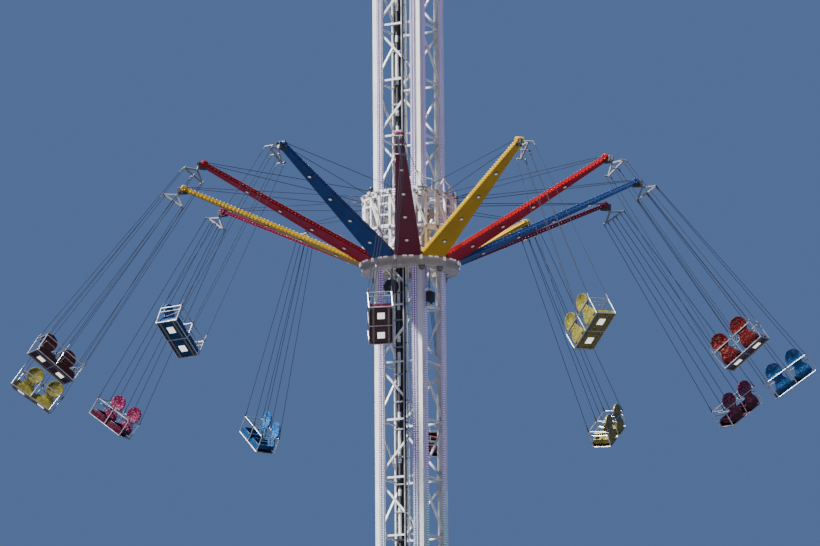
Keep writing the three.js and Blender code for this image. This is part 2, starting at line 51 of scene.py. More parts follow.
ARMS = 12
STEP = math.radians(30)
FRONT_ARM = math.radians(-65)
PIVOT = Vector((5.74, 0, 22.0))
TRAIL = math.radians(4.7)
SWING = math.radians(36)
CHAIR_MIDDLE = Matrix.Translation((0, 0, -6.1))
LEAN_TURN = math.radians(6)
LEAN_BACK = math.radians(8)
LEAN = (CHAIR_MIDDLE @ Matrix.Rotation(LEAN_TURN, 4, "Z") @ Matrix.Rotation(LEAN_BACK, 4, "X")
        @ CHAIR_MIDDLE.inverted())
PAINTS = ("magenta", "yellow", "red", "blue")
TOWER_TOP = 36.055
BASE_TOP = 0.43
CAGE_POST = 0.16
ROOT_WIDTH = 0.62
SHOULDER = (0.65, 0.12)
SHOULDER_HEIGHT = 20.1403
TIP = (0.17, 0.1)
TIP_HEIGHT = 22.08
ARM_FLOOR = 20.0803
KNOB = Vector((5.625, 0, 22.085))
RING_TOP = 20.0795
SLEWING_FACE = 19.8598
SEATS = (-0.3, 0.3)


# Settings.
def length(name, description, default):
    return FloatProperty(name=name, description=description, default=default, unit="LENGTH", precision=4)


def colour(name, description, default):
    return FloatVectorProperty(name=name, description=description, default=default, size=3, min=0, max=1,
                               subtype="COLOR")


class TowerSizes(PropertyGroup):
    half: length("Half width", "From the tower's axis to a face", 0.66)
    leg: length("Leg", "Side of a square leg", 0.115)
    bay: length("Bay", "Height of one bay of the lattice", 1.425)
    bays: IntProperty(name="Bays", description="Number of bays", default=25, min=1)
    lamp_pitch: length("Lamp pitch", "Height from one lamp to the next", 0.058)
    lamp_radius: length("Lamp radius", "Radius of a lamp beside a leg", 0.019)


class StarSizes(PropertyGroup):
    cage_reach: length("Cage reach", "From the axis to the flat of the cage's rings", 1.135)
    cage_top: length("Cage top", "Height of the cage's top rim", 21.76)
    arm_root: length("Arm root", "Where an arm leaves the cage", 1.1803)
    ring_reach: length("Ring reach", "From the axis to the turntable's edge", 1.24)
    arm_tip: length("Arm tip", "Where an arm's beam ends", 5.64)
    bulb_pitch: length("Bulb pitch", "Distance from one bulb of an arm to the next", 0.1)
    bulb_radius: length("Bulb radius", "Radius of a bulb", 0.0155)
    stay_radius: length("Stay radius", "Radius of a stay", 0.007)


class ChairSizes(PropertyGroup):
    half: length("Half width", "From a gondola's middle to its end tubes", 0.584)
    depth: length("Half depth", "From a gondola's middle to its front tubes", 0.265)
    tube: length("Tube radius", "Radius of the frame's tubes", 0.0145)
    rope: length("Rope radius", "Radius of a hanging rope", 0.0065)


class RideColours(PropertyGroup):
    white: colour("White paint", "Tower and cage", (0.8, 0.8, 0.78))
    ring: colour("Ring paint", "Slewing ring and its underside", (0.5, 0.46, 0.385))
    magenta: colour("Magenta paint", "Magenta arms", (0.115, 0.0015, 0.022))
    yellow: colour("Yellow paint", "Yellow arms", (0.43, 0.262, 0.004))
    red: colour("Red paint", "Red arms", (0.31, 0.002, 0.003))
    blue: colour("Blue paint", "Blue arms", (0.017, 0.046, 0.168))
    magenta_seat: colour("Magenta seats", "Gel coat of the magenta seats", (0.085, 0.001, 0.022))
    yellow_seat: colour("Yellow seats", "Gel coat of the yellow seats", (0.135, 0.115, 0.016))
    red_seat: colour("Red seats", "Gel coat of the red seats", (0.055, 0.001, 0.003))
    blue_seat: colour("Blue seats", "Gel coat of the blue seats", (0.008, 0.06, 0.19))
    silver: colour("Tube", "Gondola frames", (0.45, 0.47, 0.48))
    wire: colour("Wire rope", "Ropes and stays", (0.014, 0.016, 0.024))


def tower_sizes():
    return bpy.context.scene.swing_tower


def star_sizes():
    return bpy.context.scene.swing_star


def chair_sizes():
    return bpy.context.scene.swing_chair


def colours():
    return bpy.context.scene.swing_colours


# Shader maths.
class Wire:
    """A socket that can be used in arithmetic."""

    def __init__(self, shade, socket):
        self.shade = shade
        self.socket = socket

    def maths(self, operation, *others):
        values = dict(enumerate((self, *others)))
        return self.shade.node("ShaderNodeMath", {"operation": operation}, values)

    def __add__(self, other):
        return self.maths("ADD", other)

    __radd__ = __add__

    def __sub__(self, other):
        return self.maths("SUBTRACT", other)

    def __rsub__(self, other):
        return self.shade.node("ShaderNodeMath", {"operation": "SUBTRACT"}, {0: other, 1: self})

    def __mul__(self, other):
        return self.maths("MULTIPLY", other)

    __rmul__ = __mul__

    def ramp(self, low, high, start=0.0, end=1.0):
        limits = {"Value": self, "From Min": low, "From Max": high, "To Min": start, "To Max": end}
        return self.shade.node("ShaderNodeMapRange", {"interpolation_type": "SMOOTHSTEP"}, limits)


class Shade:
    """A material being made. node() adds any node to it."""

    def __init__(self, name):
        self.material = bpy.data.materials.new(name)
        self.material.use_nodes = True
        self.tree = self.material.node_tree
        self.surface = self.tree.nodes["Principled BSDF"]

    def feed(self, socket, value):
        if isinstance(value, Wire):
            self.tree.links.new(value.socket, socket)
        else:
            socket.default_value = value

    def node(self, kind, settings=None, inputs=None, output=0):
        made = self.tree.nodes.new(kind)
        for name, value in (settings or {}).items():
            setattr(made, name, value)
        for key, value in (inputs or {}).items():
            self.feed(made.inputs[key], value)
        return Wire(self, made.outputs[output])

    def point(self):
        return self.node("ShaderNodeTexCoord", output=3)

    def stretched(self, scale):
        return self.node("ShaderNodeMapping", None, {0: self.point(), 3: scale})

    def noise(self, scale, detail=2.0, vector=None):
        inputs = {"Vector": vector or self.point(), "Scale": scale, "Detail": detail}
        return self.node("ShaderNodeTexNoise", None, inputs)

    def blend(self, first, second, factor):
        mix = self.tree.nodes.new("ShaderNodeMix")
        mix.data_type = "RGBA"
        for index, value in ((0, factor), (6, first), (7, second)):
            self.feed(mix.inputs[index], value)
        return Wire(self, mix.outputs[2])

    def bump(self, height, strength, distance):
        inputs = {"Height": height, "Strength": strength, "Distance": distance}
        return self.node("ShaderNodeBump", None, inputs)

    def finish(self, **values):
        for name, value in values.items():
            self.feed(self.surface.inputs[name.replace("_", " ")], value)
        return self.material


def tinted(shade, amount):
    return (*[min(1.0, channel * amount) for channel in shade], 1.0)


# Finishes.
# The heights between which the tower's lamps change from teal to violet.
LAMP_FADE = (13.4, 15.2)


def painted(name, shade, gloss=0.35, grime=0.45, shine=0.5):
    """Sprayed steel: slight cloudiness, rain streaks, chips and orange peel."""
    made = Shade(name)
    cloud = made.noise(1.3, 4).ramp(0.3, 0.7)
    streak = made.noise(3.0, 5, made.stretched((9, 9, 0.7))).ramp(0.5, 0.78)
    chip = made.noise(24.0, 6).ramp(0.69, 0.73)
    base = made.blend(tinted(shade, 1.06), tinted(shade, 0.86), cloud)
    dirty = made.blend(base, tinted(shade, 0.5), streak * grime)
    worn = made.blend(dirty, (0.2, 0.19, 0.18, 1), chip * 0.6)
    peel = made.noise(160.0, 2)
    return made.finish(
        Base_Color=worn, Roughness=streak * 0.25 + chip * 0.2 + gloss, Specular_IOR_Level=shine,
        Normal=made.bump(peel - chip * 0.5, 0.08, 0.001))


def bare_metal(name, shade, rough=0.35, metal=0.85):
    """Bare or galvanised metal: spangle, dull patches and fine scratches."""
    made = Shade(name)
    spangle = made.node("ShaderNodeTexVoronoi", None, {"Vector": made.point(), "Scale": 60.0})
    patch = made.noise(5.0, 5).ramp(0.42, 0.68)
    scratch = made.noise(40.0, 4, made.stretched((1, 1, 14))).ramp(0.55, 0.75)
    base = made.blend(tinted(shade, 1.1), tinted(shade, 0.72), patch)
    return made.finish(
        Base_Color=made.blend(base, tinted(shade, 0.9), spangle * 0.5), Metallic=metal,
        Roughness=patch * 0.22 + scratch * 0.1 + rough,
        Normal=made.bump(scratch + spangle * 0.3, 0.06, 0.001))


def wire_rope(name, shade):
    """Greased wire rope: the lay of its strands, and dry patches."""
    made = Shade(name)
    lay = made.node("ShaderNodeTexWave", {"bands_direction": "DIAGONAL"},
                    {"Vector": made.point(), "Scale": 28.0, "Distortion": 0.6})
    dry = made.noise(9.0, 4).ramp(0.45, 0.7)
    base = made.blend(tinted(shade, 0.8), tinted(shade, 1.25), lay)
    return made.finish(Base_Color=made.blend(base, tinted(shade, 1.8), dry * 0.3), Specular_IOR_Level=0.15,
                       Roughness=dry * 0.15 + 0.7, Normal=made.bump(lay, 0.15, 0.001))


def moulded(name, shade, fleck):
    """Glass-fibre seat: gel coat marbled with paler flecks and scuffed where riders slide."""
    made = Shade(name)
    mottle = made.noise(11.0, 5).ramp(0.35, 0.7)
    vein = made.noise(21.0, 5, made.stretched((1, 1, 1.6))).ramp(0.53, 0.61)
    scuff = made.noise(30.0, 5, made.stretched((1, 5, 1))).ramp(0.6, 0.75)
    base = made.blend(tinted(shade, 1.25), tinted(shade, 0.7), mottle)
    return made.finish(
        Base_Color=made.blend(base, (*fleck, 1), vein * 0.38), Roughness=scuff * 0.3 + 0.28,
        Specular_IOR_Level=0.25, Normal=made.bump(mottle + scuff * 0.4, 0.15, 0.002))


def lens(name, pale, deep, glow=0.0, frosting=0.35):
    """A lamp's frosted lens, unevenly tinted."""
    made = Shade(name)
    frost = made.noise(90.0, 2).ramp(0.35, 0.7)
    base = made.blend((*pale, 1), (*deep, 1), made.noise(0.8, 3).ramp(0.42, 0.6))
    made.surface.inputs["Emission Strength"].default_value = glow
    return made.finish(
        Base_Color=made.blend(base, (0.95, 0.95, 0.95, 1), frost * frosting), Emission_Color=base,
        Roughness=frost * 0.2 + 0.15, Coat_Weight=0.4, Normal=made.bump(frost, 0.2, 0.001))


def rubber(name, shade):
    """Black rubber or cable sheath with dust."""
    made = Shade(name)
    dust = made.noise(14.0, 5).ramp(0.4, 0.75)
    return made.finish(Base_Color=made.blend((*shade, 1), (0.2, 0.19, 0.18, 1), dust * 0.35),
                       Roughness=dust * 0.2 + 0.55, Normal=made.bump(made.noise(120.0, 3), 0.2, 0.001))


def panel_sheet(name):
    """Lit white plastic sheet under the seats, yellowed in patches and scuffed."""
    made = Shade(name)
    stain = made.noise(7.0, 5).ramp(0.5, 0.8)
    base = made.blend((0.86, 0.86, 0.83, 1), (0.6, 0.55, 0.45, 1), stain * 0.5)
    made.surface.inputs["Emission Strength"].default_value = 1.3
    return made.finish(Base_Color=base, Emission_Color=base, Roughness=stain * 0.3 + 0.3,
                       Normal=made.bump(stain, 0.1, 0.001))


def tower_lens(name):
    """The tower's colour-changing lamps: teal low down and violet above, under a frosted skin."""
    made = Shade(name)
    height = made.node("ShaderNodeSeparateXYZ", None, {0: made.point()}, 2)
    drift = height.ramp(*LAMP_FADE) * 0.85 + made.noise(0.8, 3).ramp(0.42, 0.6) * 0.15
    frost = made.noise(90.0, 2).ramp(0.35, 0.7)
    skin = made.blend((0.55, 0.76, 0.74, 1), (0.78, 0.68, 0.78, 1), drift)
    glow = made.blend((0.02, 0.4, 0.44, 1), (0.3, 0.17, 0.72, 1), drift)
    made.surface.inputs["Emission Strength"].default_value = 0.5
    return made.finish(Base_Color=made.blend(skin, (0.9, 0.9, 0.9, 1), frost * 0.3), Emission_Color=glow,
                       Roughness=frost * 0.2 + 0.15, Coat_Weight=0.4, Normal=made.bump(frost, 0.2, 0.001))


def studio_floor(name):
    made = Shade(name)
    cloud = made.noise(0.25, 3).ramp(0.3, 0.7)
    base = made.blend((0.3, 0.3, 0.29, 1), (0.26, 0.26, 0.255, 1), cloud)
    return made.finish(Base_Color=base, Roughness=0.8)


FINISHES = {}
# The seats' flecks, and how far the pans' gel coat is scaled from the backs': painted shade, darker because
# the pans sit in shade, and painted light on the yellow pans, which are lighter.
SEAT_LOOKS = {"magenta": ((0.5, 0.2, 0.33), 0.42), "yellow": ((0.4, 0.42, 0.2), 1.2),
              "red": ((0.36, 0.13, 0.07), 0.7), "blue": ((0.16, 0.38, 0.56), 0.5)}
# The bulbs' tint and glow.
BULB_LOOKS = {"magenta": ((0.27, 0.06, 0.11), 0.1), "yellow": ((0.75, 0.52, 0.05), 0.1),
              "red": ((0.3, 0.014, 0.012), 0.02), "blue": ((0.02, 0.06, 0.2), 0.02)}


def make_finishes():
    shades = colours()
    made = {
        "white": painted("white_paint", shades.white, 0.38, 0.3),
        "cage": painted("cage_paint", shades.white, 0.33, 0.2),
        "ring": painted("ring_paint", shades.ring, 0.5, 0.5),
        "grey": painted("grey_paint", (0.3, 0.31, 0.31), 0.45, 0.5),
        "dark": painted("dark_paint", (0.03, 0.03, 0.033), 0.45, 0.3),
        "violet": painted("lamp_backing", (0.34, 0.31, 0.41), 0.5, 0.3),
        "olive": painted("underframe_paint", (0.15, 0.14, 0.1), 0.45, 0.4),
        # The cable tray is painted near black: painted shade inside the tower.
        "tray": painted("tray_paint", (0.06, 0.06, 0.065), 0.6, 0.5),
        "silver": bare_metal("silver_tube", shades.silver, 0.28),
        "zinc": bare_metal("zinc_steel", (0.36, 0.37, 0.38), 0.45),
        "spreader": painted("spreader_paint", (0.25, 0.26, 0.265), 0.5, 0.5, 0.3),
        # The forks are painted near black: painted shade, standing for the shade they are seen in at the
        # arms' tips.
        "fork": painted("fork_paint", (0.06, 0.062, 0.068), 0.5, 0.5, 0.3),
        "frame": painted("frame_paint", (0.45, 0.45, 0.44), 0.4, 0.5, 0.3),
        "socket": bare_metal("blackened_steel", (0.06, 0.062, 0.07), 0.55, 0.5),
        "rail": bare_metal("rail_metal", (0.72, 0.73, 0.72), 0.3),
        "wire": wire_rope("wire_rope", shades.wire),
        "rubber": rubber("rubber", (0.012, 0.012, 0.013)),
        "panel": panel_sheet("panel_sheet"),
        "tower_lamp": tower_lens("tower_lamp_lens"),
        "arm_lamp": lens("arm_lamp_lens", (0.62, 0.56, 0.45), (0.5, 0.46, 0.4), 0.2),
        # Small plates on the ring made to glow: a painted sunlit highlight, not a lamp.
        "marker": lens("marker_lens", (0.75, 0.75, 0.72), (0.75, 0.75, 0.72), 0.4),
    }
    for paint in PAINTS:
        made.update(coloured_finishes(paint, shades))
    FINISHES.update(made)


def coloured_finishes(paint, shades):
    """An arm's paint, the gel coat of its gondola's backs and pans, and its bulbs. The pans' gel coat is the
    backs' scaled as painted shade, and as painted light for yellow.
    """
    tint, glow = BULB_LOOKS[paint]
    fleck, depth = SEAT_LOOKS[paint]
    seat = getattr(shades, f"{paint}_seat")
    # Pan colours scaled from the backs': painted shade, and painted light on the yellow pans; the pan flecks
    # are always darkened as painted shade.
    pan, pan_fleck_painted_shade = tinted(seat, depth)[:3], tinted(fleck, depth * 0.6)[:3]
    return {
        paint: painted(f"{paint}_paint", getattr(shades, paint), 0.35, 0.25, 0.18),
        f"{paint}_seat": moulded(f"{paint}_seat", seat, fleck),
        f"{paint}_pan": moulded(f"{paint}_pan", pan, pan_fleck_painted_shade),
        f"{paint}_bulb": lens(f"{paint}_bulb", tint, tinted(tint, 0.7)[:3], glow, 0.06),
    }


# Modelling.
def activate(*items):
    for item in bpy.context.selected_objects:
        item.select_set(False)
    for item in items:
        item.select_set(True)
    bpy.context.view_layer.objects.active = items[0] if items else None


def settle(item, name=None):
    """Puts an object's place into its mesh."""
    activate(item)
    bpy.ops.object.transform_apply(location=True, rotation=True, scale=True)
    if name:
        item.name = name
        item.data.name = name
    return item


def block(name, low, high, bevel=0.0):
    low, high = Vector(low), Vector(high)
    activate()
    bpy.ops.mesh.primitive_cube_add(size=1, location=(low + high) / 2, scale=high - low)
    made = settle(bpy.context.object, name)
    return softened(made, bevel) if bevel else made


def aim(start, end):
    return (Vector(end) - Vector(start)).to_track_quat("Z", "Y").to_euler()


def rod(name, start, end, radius, sides=12, tip=None, bevel=0.0):
    """A round bar, or a cone where tip gives the radius of its end."""
    start, end = Vector(start), Vector(end)
    activate()
    bpy.ops.mesh.primitive_cone_add(
        vertices=sides, radius1=radius, radius2=radius if tip is None else tip, depth=(end - start).length,
        location=(start + end) / 2, rotation=aim(start, end))
    made = settle(bpy.context.object, name)
    return softened(made, bevel) if bevel else made


def ball(name, at, radius, segments=8, rings=6):
    activate()
    bpy.ops.mesh.primitive_uv_sphere_add(segments=segments, ring_count=rings, radius=radius, location=at)
    return settle(bpy.context.object, name)


def hoop(name, radius, thickness, z, around=48, sides=8):
    activate()
    bpy.ops.mesh.primitive_torus_add(location=(0, 0, z), major_radius=radius, minor_radius=thickness,
                                     major_segments=around, minor_segments=sides)
    return settle(bpy.context.object, name)


def modified(item, kind, **settings):
    """Adds a modifier and applies it."""
    activate(item)
    modifier = item.modifiers.new(kind.title(), kind)
    for name, value in settings.items():
        setattr(modifier, name, value)
    bpy.ops.object.modifier_apply(modifier=modifier.name)
    return item


def softened(item, width, segments=2, angle=30):
    return modified(item, "BEVEL", width=width, segments=segments, limit_method="ANGLE",
                    angle_limit=math.radians(angle))


def row(item, count, step):
    return modified(item, "ARRAY", count=count, use_relative_offset=False, use_constant_offset=True,
                    constant_offset_displace=step)


def shaped(item, picked, *moves):
    """Selects the faces that picked says yes to and makes each move on them in edit mode."""
    activate(item)
    mesh = item.data
    bpy.context.tool_settings.mesh_select_mode = (False, False, True)
    for vertex in mesh.vertices:
        vertex.select = False
    for edge in mesh.edges:
        edge.select = False
    for face in mesh.polygons:
        face.select = bool(picked(face.center, face.normal))
    bpy.ops.object.mode_set(mode="EDIT")
    for move in moves:
        move()
    bpy.ops.object.mode_set(mode="OBJECT")
    return item


def inset(width, depth=0.0, single=False):
    return lambda: bpy.ops.mesh.inset(thickness=width, depth=depth, use_individual=single)


def pull(step, size=(1, 1, 1)):
    """Extrudes the selected faces by a step and then resizes them."""
    def move():
        bpy.ops.mesh.extrude_region_move(TRANSFORM_OT_translate={"value": step})
        if tuple(size) != (1, 1, 1):
            bpy.ops.transform.resize(value=size)
    return move


def smooth(item, angle=35):
    activate(item)
    bpy.ops.object.shade_smooth_by_angle(angle=math.radians(angle))
    return item


def united(first, *others):
    """Cuts overlapping closed shapes down to one skin."""
    for other in others:
        modified(first, "BOOLEAN", operation="UNION", solver="EXACT", object=other)
        bpy.data.objects.remove(other)
    return first


def joined(name, pieces):
    activate(*pieces)
    if len(pieces) > 1:
        bpy.ops.object.join()
    made = bpy.context.object
    made.name = name
    made.data.name = name
    return made


def duplicate(item, place, name=None):
    """A copy with its own mesh, moved by a matrix."""
    copy = item.copy()
    copy.data = item.data.copy()
    bpy.context.collection.objects.link(copy)
    copy.data.transform(place)
    if place.determinant() < 0:
        copy.data.flip_normals()
    if name:
        copy.name = name
        copy.data.name = name
    return copy


def spread(name, item, places):
    """Copies one model to every place and joins the copies."""
    copies = [duplicate(item, place) for place in places]
    bpy.data.objects.remove(item)
    return joined(name, copies)


def bars(name, runs, radius, sides=6, ends=False):
    """Straight round bars between pairs of points, with rounded joints where ends asks for them."""
    unit = rod(f"{name}_unit", (0, 0, -0.5), (0, 0, 0.5), 1.0, sides)
    smooth(unit)
    places = []
    for start, end in runs:
        start, end = Vector(start), Vector(end)
        turn = (end - start).to_track_quat("Z", "Y").to_matrix().to_4x4()
        size = Matrix.Diagonal((radius, radius, (end - start).length, 1))
        places.append(Matrix.Translation((start + end) / 2) @ turn @ size)
    made = spread(name, unit, places)
    if ends:
        corners = {tuple(round(value, 4) for value in point) for run in runs for point in run}
        knuckle = smooth(ball(f"{name}_ball", (0, 0, 0), radius * 1.06, 8, 6), 180)
        at_corners = [Matrix.Translation(corner) for corner in sorted(corners)]
        made = joined(name, [made, spread(f"{name}_balls", knuckle, at_corners)])
    return made


def boxes(name, places, bevel=0.0):
    """Square bars and plates from (centre, size, turn matrix or None)."""
    unit = block(f"{name}_unit", (-0.5, -0.5, -0.5), (0.5, 0.5, 0.5))
    matrices = []
    for centre, size, turn in places:
        turn = turn.to_4x4() if turn else Matrix.Identity(4)
        matrices.append(Matrix.Translation(centre) @ turn @ Matrix.Diagonal((*size, 1)))
    made = spread(name, unit, matrices)
    return softened(made, bevel, 1) if bevel else made


def square_bar(start, end, width, depth, facing=(0, 0, 1)):
    """One entry for boxes(): a bar from start to end with its depth along facing."""
    start, end = Vector(start), Vector(end)
    along = (end - start).normalized()
    side = along.cross(Vector(facing)).normalized()
    out = along.cross(side)
    turn = Matrix((side, out, along)).transposed()
    return (start + end) / 2, (width, depth, (end - start).length), turn


def quarter_turns():
    return [Matrix.Rotation(math.radians(90) * i, 4, "Z") for i in range(4)]


def spokes(offset=0.0):
    """One turn about the ride's axis for each arm."""
    return [Matrix.Rotation(FRONT_ARM + offset + STEP * i, 4, "Z") for i in range(ARMS)]


def polar(reach, degrees, z=0.0):
    return Vector((reach * math.cos(math.radians(degrees)), reach * math.sin(math.radians(degrees)), z))


def dress(piece, finish, body):
    """Gives a finished piece its material and its body."""
    piece.data.materials.clear()
    piece.data.materials.append(FINISHES[finish])
    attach(piece, body)


def refinish(node, finish):
    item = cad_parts[node]
    item.data.materials.clear()
    item.data.materials.append(FINISHES[finish])


# Tower.
LAMP_STRIP = 0.16
LAMP_HEIGHT = 0.028
COLUMN_GAP = 0.07
SPLICED_FLOORS = (3, 8, 13, 17, 21)
RUNG_PITCH = 0.68
PIPE_PITCH = 1.9
PIPE_LENGTHS = ((0, 0.85), (1.1, 0.16))
PIPE_AT = (-0.055, -0.51)
TRAY_CABLES = (-0.145, -0.122, 0.012, 0.035)
INSULATOR_PITCH = 0.7125


def lamp_unit(name, radius, height):
    """A small domed lamp standing on z = 0."""
    made = rod(name, (0, 0, 0), (0, 0, height * 0.5), radius, 6)
    shaped(made, lambda centre, normal: normal.z > 0.9, pull((0, 0, height * 0.5), (0.55, 0.55, 1)))
    return smooth(made, 60)


def tower_lamps():
    """Two columns of lamps beside each leg, on every face."""
    sizes = tower_sizes()
    spare, first = 0.1, 0.06
    count = int((TOWER_TOP - BASE_TOP - spare) / sizes.lamp_pitch)
    inner = sizes.half - sizes.leg
    corner = Vector((-inner + (LAMP_STRIP - COLUMN_GAP) / 2, -sizes.half - 0.003, BASE_TOP + first))
    for face, turn in enumerate(quarter_turns()):
        lamp = lamp_unit(f"tower_lamps_{face + 1}", sizes.lamp_radius, LAMP_HEIGHT)
        lamp.data.transform(Matrix.Rotation(math.radians(90), 4, "X"))
        lamp.data.transform(Matrix.Translation(corner))
        row(lamp, count, (0, 0, sizes.lamp_pitch))
        row(lamp, 2, (COLUMN_GAP, 0, 0))
        row(lamp, 2, (2 * inner - LAMP_STRIP, 0, 0))
        lamp.data.transform(turn)
        dress(lamp, "tower_lamp", "tower")


def lamp_channels():
    """Violet backing of the lamps and the folded edges of their strips."""
    sizes = tower_sizes()
    inner = sizes.half - sizes.leg
    middle, height = (TOWER_TOP + BASE_TOP) / 2, TOWER_TOP - BASE_TOP - 0.04
    face, sheet, fold = -sizes.half, 0.003, 0.012
    backs = [((side * (inner - LAMP_STRIP / 2), face - sheet / 2, middle), (0.152, sheet, height), None)
             for side in (-1, 1)]
    backing = spread("lamp_backing", boxes("backing", backs), quarter_turns())
    dress(backing, "violet", "tower")
    folds = [((side * (inner - across), face - fold / 2, middle), (sheet, fold, height), None)
             for side in (-1, 1) for across in (0.0025, LAMP_STRIP - 0.0025)]
    dress(spread("lamp_channels", boxes("channel", folds), quarter_turns()), "white", "tower")


def gussets():
    """Plates and bolts where the braces meet the legs."""
    sizes = tower_sizes()
    inner = sizes.half - sizes.leg
    face, back, bolt = -0.632, -0.6258, 0.009
    plate = block("gusset", (-inner - 0.002, face, -0.09), (-inner + 0.17, back, 0.12))
    shaped(plate, lambda centre, normal: normal.x > 0.9,
           lambda: bpy.ops.transform.resize(value=(1, 1, 0.45)))
    heads = [rod("head", (-inner + x, face, z), (-inner + x, face - bolt, z), 0.012, 6)
             for x, z in ((0.03, -0.05), (0.03, 0.07), (0.1, -0.01), (0.1, 0.04))]
    plate = joined("gusset", [plate, *heads])
    pair = joined("gusset_pair", [plate, duplicate(plate, Matrix.Scale(-1, 4, (1, 0, 0)))])
    levels = [Matrix.Translation((0, 0, BASE_TOP + sizes.bay * i + 0.03)) for i in range(sizes.bays)]
    made = spread("tower_gussets", spread("gusset_face", pair, levels), quarter_turns())
    dress(made, "white", "tower")


def splice_plates():
    """Bolted plates on the legs' inner sides where the tower's lengths meet."""
    sizes = tower_sizes()
    inner = sizes.half - sizes.leg
    across, half_height = -inner - 0.057, 0.17
    plates = []
    for floor in SPLICED_FLOORS:
        z = BASE_TOP + sizes.bay * floor - 0.3
        low = (-inner, across - 0.043, z - half_height)
        high = (-inner + 0.008, across + 0.043, z + half_height)
        plates.append(block("splice", low, high, 0.002))
        for step in (-0.13, -0.05, 0.05, 0.13):
            start, end = (-inner + 0.006, across, z + step), (-inner + 0.02, across, z + step)
            plates.append(rod("head", start, end, 0.014, 6))
    stack = joined("splices", plates)
    mirrored = Matrix(((0, 1, 0, 0), (1, 0, 0, 0), (0, 0, 1, 0), (0, 0, 0, 1)))
    both = joined("splices", [stack, duplicate(stack, mirrored)])
    dress(spread("splice_plates", both, quarter_turns()), "white", "tower")


def inner_braces():
    """Diagonals across the tower's inside, one at every second floor."""
    sizes = tower_sizes()
    reach = sizes.half - sizes.leg
    runs = []
    for floor in range(1, sizes.bays, 2):
        z = BASE_TOP + sizes.bay * floor + 0.03
        runs.append(((reach, -0.4, z), (-0.2, reach, z)))
    dress(bars("tower_inner_braces", runs, 0.02, 8), "white", "tower")


def tray_details():
    """Rungs across the cable tray, the cables in it and the white lengths of pipe."""
    rungs = []
    z = 1.6
    while z < TOWER_TOP - 0.2:
        rungs.append(((PIPE_AT[0], -0.556, z), (0.25, 0.014, 0.035), None))
        for x in (-0.165, 0.056):
            rungs.append(((x, -0.52, z), (0.014, 0.07, 0.035), None))
        z += RUNG_PITCH
    dress(boxes("tray_rungs", rungs, 0.003), "zinc", "tower")
    lengths = []
    z = 1.75
    while z < TOWER_TOP - 1.4:
        for start, long in PIPE_LENGTHS:
            lengths.append(((*PIPE_AT, z + start), (*PIPE_AT, z + start + long)))
        z += PIPE_PITCH
    dress(bars("tray_pipe", lengths, 0.0405, 12), "white", "tower")
    cables = [((x, -0.472, 1.34), (x, -0.472, TOWER_TOP - 0.08)) for x in TRAY_CABLES]
    dress(bars("tray_cables", cables, 0.0105, 8), "rubber", "tower")


def rail_details():
    """Insulators and their brackets behind the conductor rails."""
    places = []
    z = 1.6
    while z < TOWER_TOP - 0.3:
        places.append(((0.215, -0.668, z), (0.12, 0.012, 0.03), None))
        for x in (0.1625, 0.2675):
            places.append(((x, -0.656, z), (0.032, 0.018, 0.045), None))
        z += INSULATOR_PITCH
    dress(boxes("rail_insulators", places, 0.003), "dark", "tower")


# Base, winch and head.
ANCHOR_ROWS = (2.1, 2.54)
RIB_ROWS = (2.2, 2.44)
STRUT_FOOT = 2.15
DRUM = Vector((0, -0.415, 0.9))
ROPE_TURNS = (0, 1, 2, 3, 5, 6, 7, 8)


def on_diagonals(name, pieces):
    """Joins pieces made along +X and copies them to the base's four diagonals."""
    quarter = joined(f"{name}_quarter", pieces)
    quarter.data.transform(Matrix.Rotation(math.radians(45), 4, "Z"))
    return spread(name, quarter, quarter_turns())


def anchor_rib(x, side):
    """A sloping rib that stiffens an anchor plate beside its cross beam."""
    near, far = sorted((side * 0.138, side * 0.27))
    rib = block("rib", (x - 0.008, near, 0.035), (x + 0.008, far, 0.2))
    return shaped(rib, lambda centre, normal: normal.z > 0.9,
                  lambda: bpy.ops.transform.resize(value=(1, 0.15, 1)),
                  lambda: bpy.ops.transform.translate(value=(0, -side * 0.056, 0)))


def base_details():
    """Anchor bolts, ribs on the anchor plates and the struts' foot bolts."""
    pieces = []
    for x in ANCHOR_ROWS:
        for y in (-0.23, 0.23):
            pieces.append(rod("anchor", (x, y, 0.03), (x, y, 0.13), 0.018, 8))
            pieces.append(rod("nut", (x, y, 0.04), (x, y, 0.075), 0.036, 6, bevel=0.004))
            pieces.append(rod("washer", (x, y, 0.039), (x, y, 0.046), 0.05, 16))
    pieces += [anchor_rib(x, side) for x in RIB_ROWS for side in (-1, 1)]
    pieces.append(block("beam_cap", (2.592, -0.15, 0.0), (2.604, 0.15, 0.26), 0.004))
    dress(on_diagonals("base_anchors", pieces), "zinc", "tower")
    feet = [rod("foot_bolt", (STRUT_FOOT + x, y, 0.27), (STRUT_FOOT + x, y, 0.31), 0.016, 6)
            for x in (-0.14, 0.14) for y in (-0.06, 0.06)]
    feet.append(block("strut_cuff", (1.98, -0.068, 0.2803), (2.06, 0.068, 0.33), 0.005))
    dress(on_diagonals("strut_feet", feet), "zinc", "tower")


def on_drum(name, x, thickness, radius, sides):
    """A disc on the axis of the winch's drum."""
    return rod(name, DRUM + Vector((x, 0, 0)), DRUM + Vector((x + thickness, 0, 0)), radius, sides)


def winch_details():
    """Rope wound on the drum, drum flanges, motor fins and the gearbox cover."""
    coils = []
    for turn in ROPE_TURNS:
        activate()
        bpy.ops.mesh.primitive_torus_add(
            location=DRUM + Vector((0.095 + turn * 0.03, 0, 0)), rotation=(0, math.radians(90), 0),
            major_radius=0.2885, minor_radius=0.0125, major_segments=36, minor_segments=6)
        coils.append(settle(bpy.context.object, "coil"))
    dress(smooth(joined("winch_rope", coils)), "wire", "tower")
    flanges = [on_drum("flange", x, 0.012, 0.36, 40) for x in (0.066, 0.352)]
    fins = [on_drum("fin", x / 1000, 0.007, 0.13, 20) for x in range(-440, -120, 24)]
    cover = block("gearbox", (-0.125, -0.53, 0.75), (-0.015, -0.3, 1.09), 0.02)
    dress(smooth(joined("winch_fittings", [*flanges, *fins, cover])), "grey", "tower")


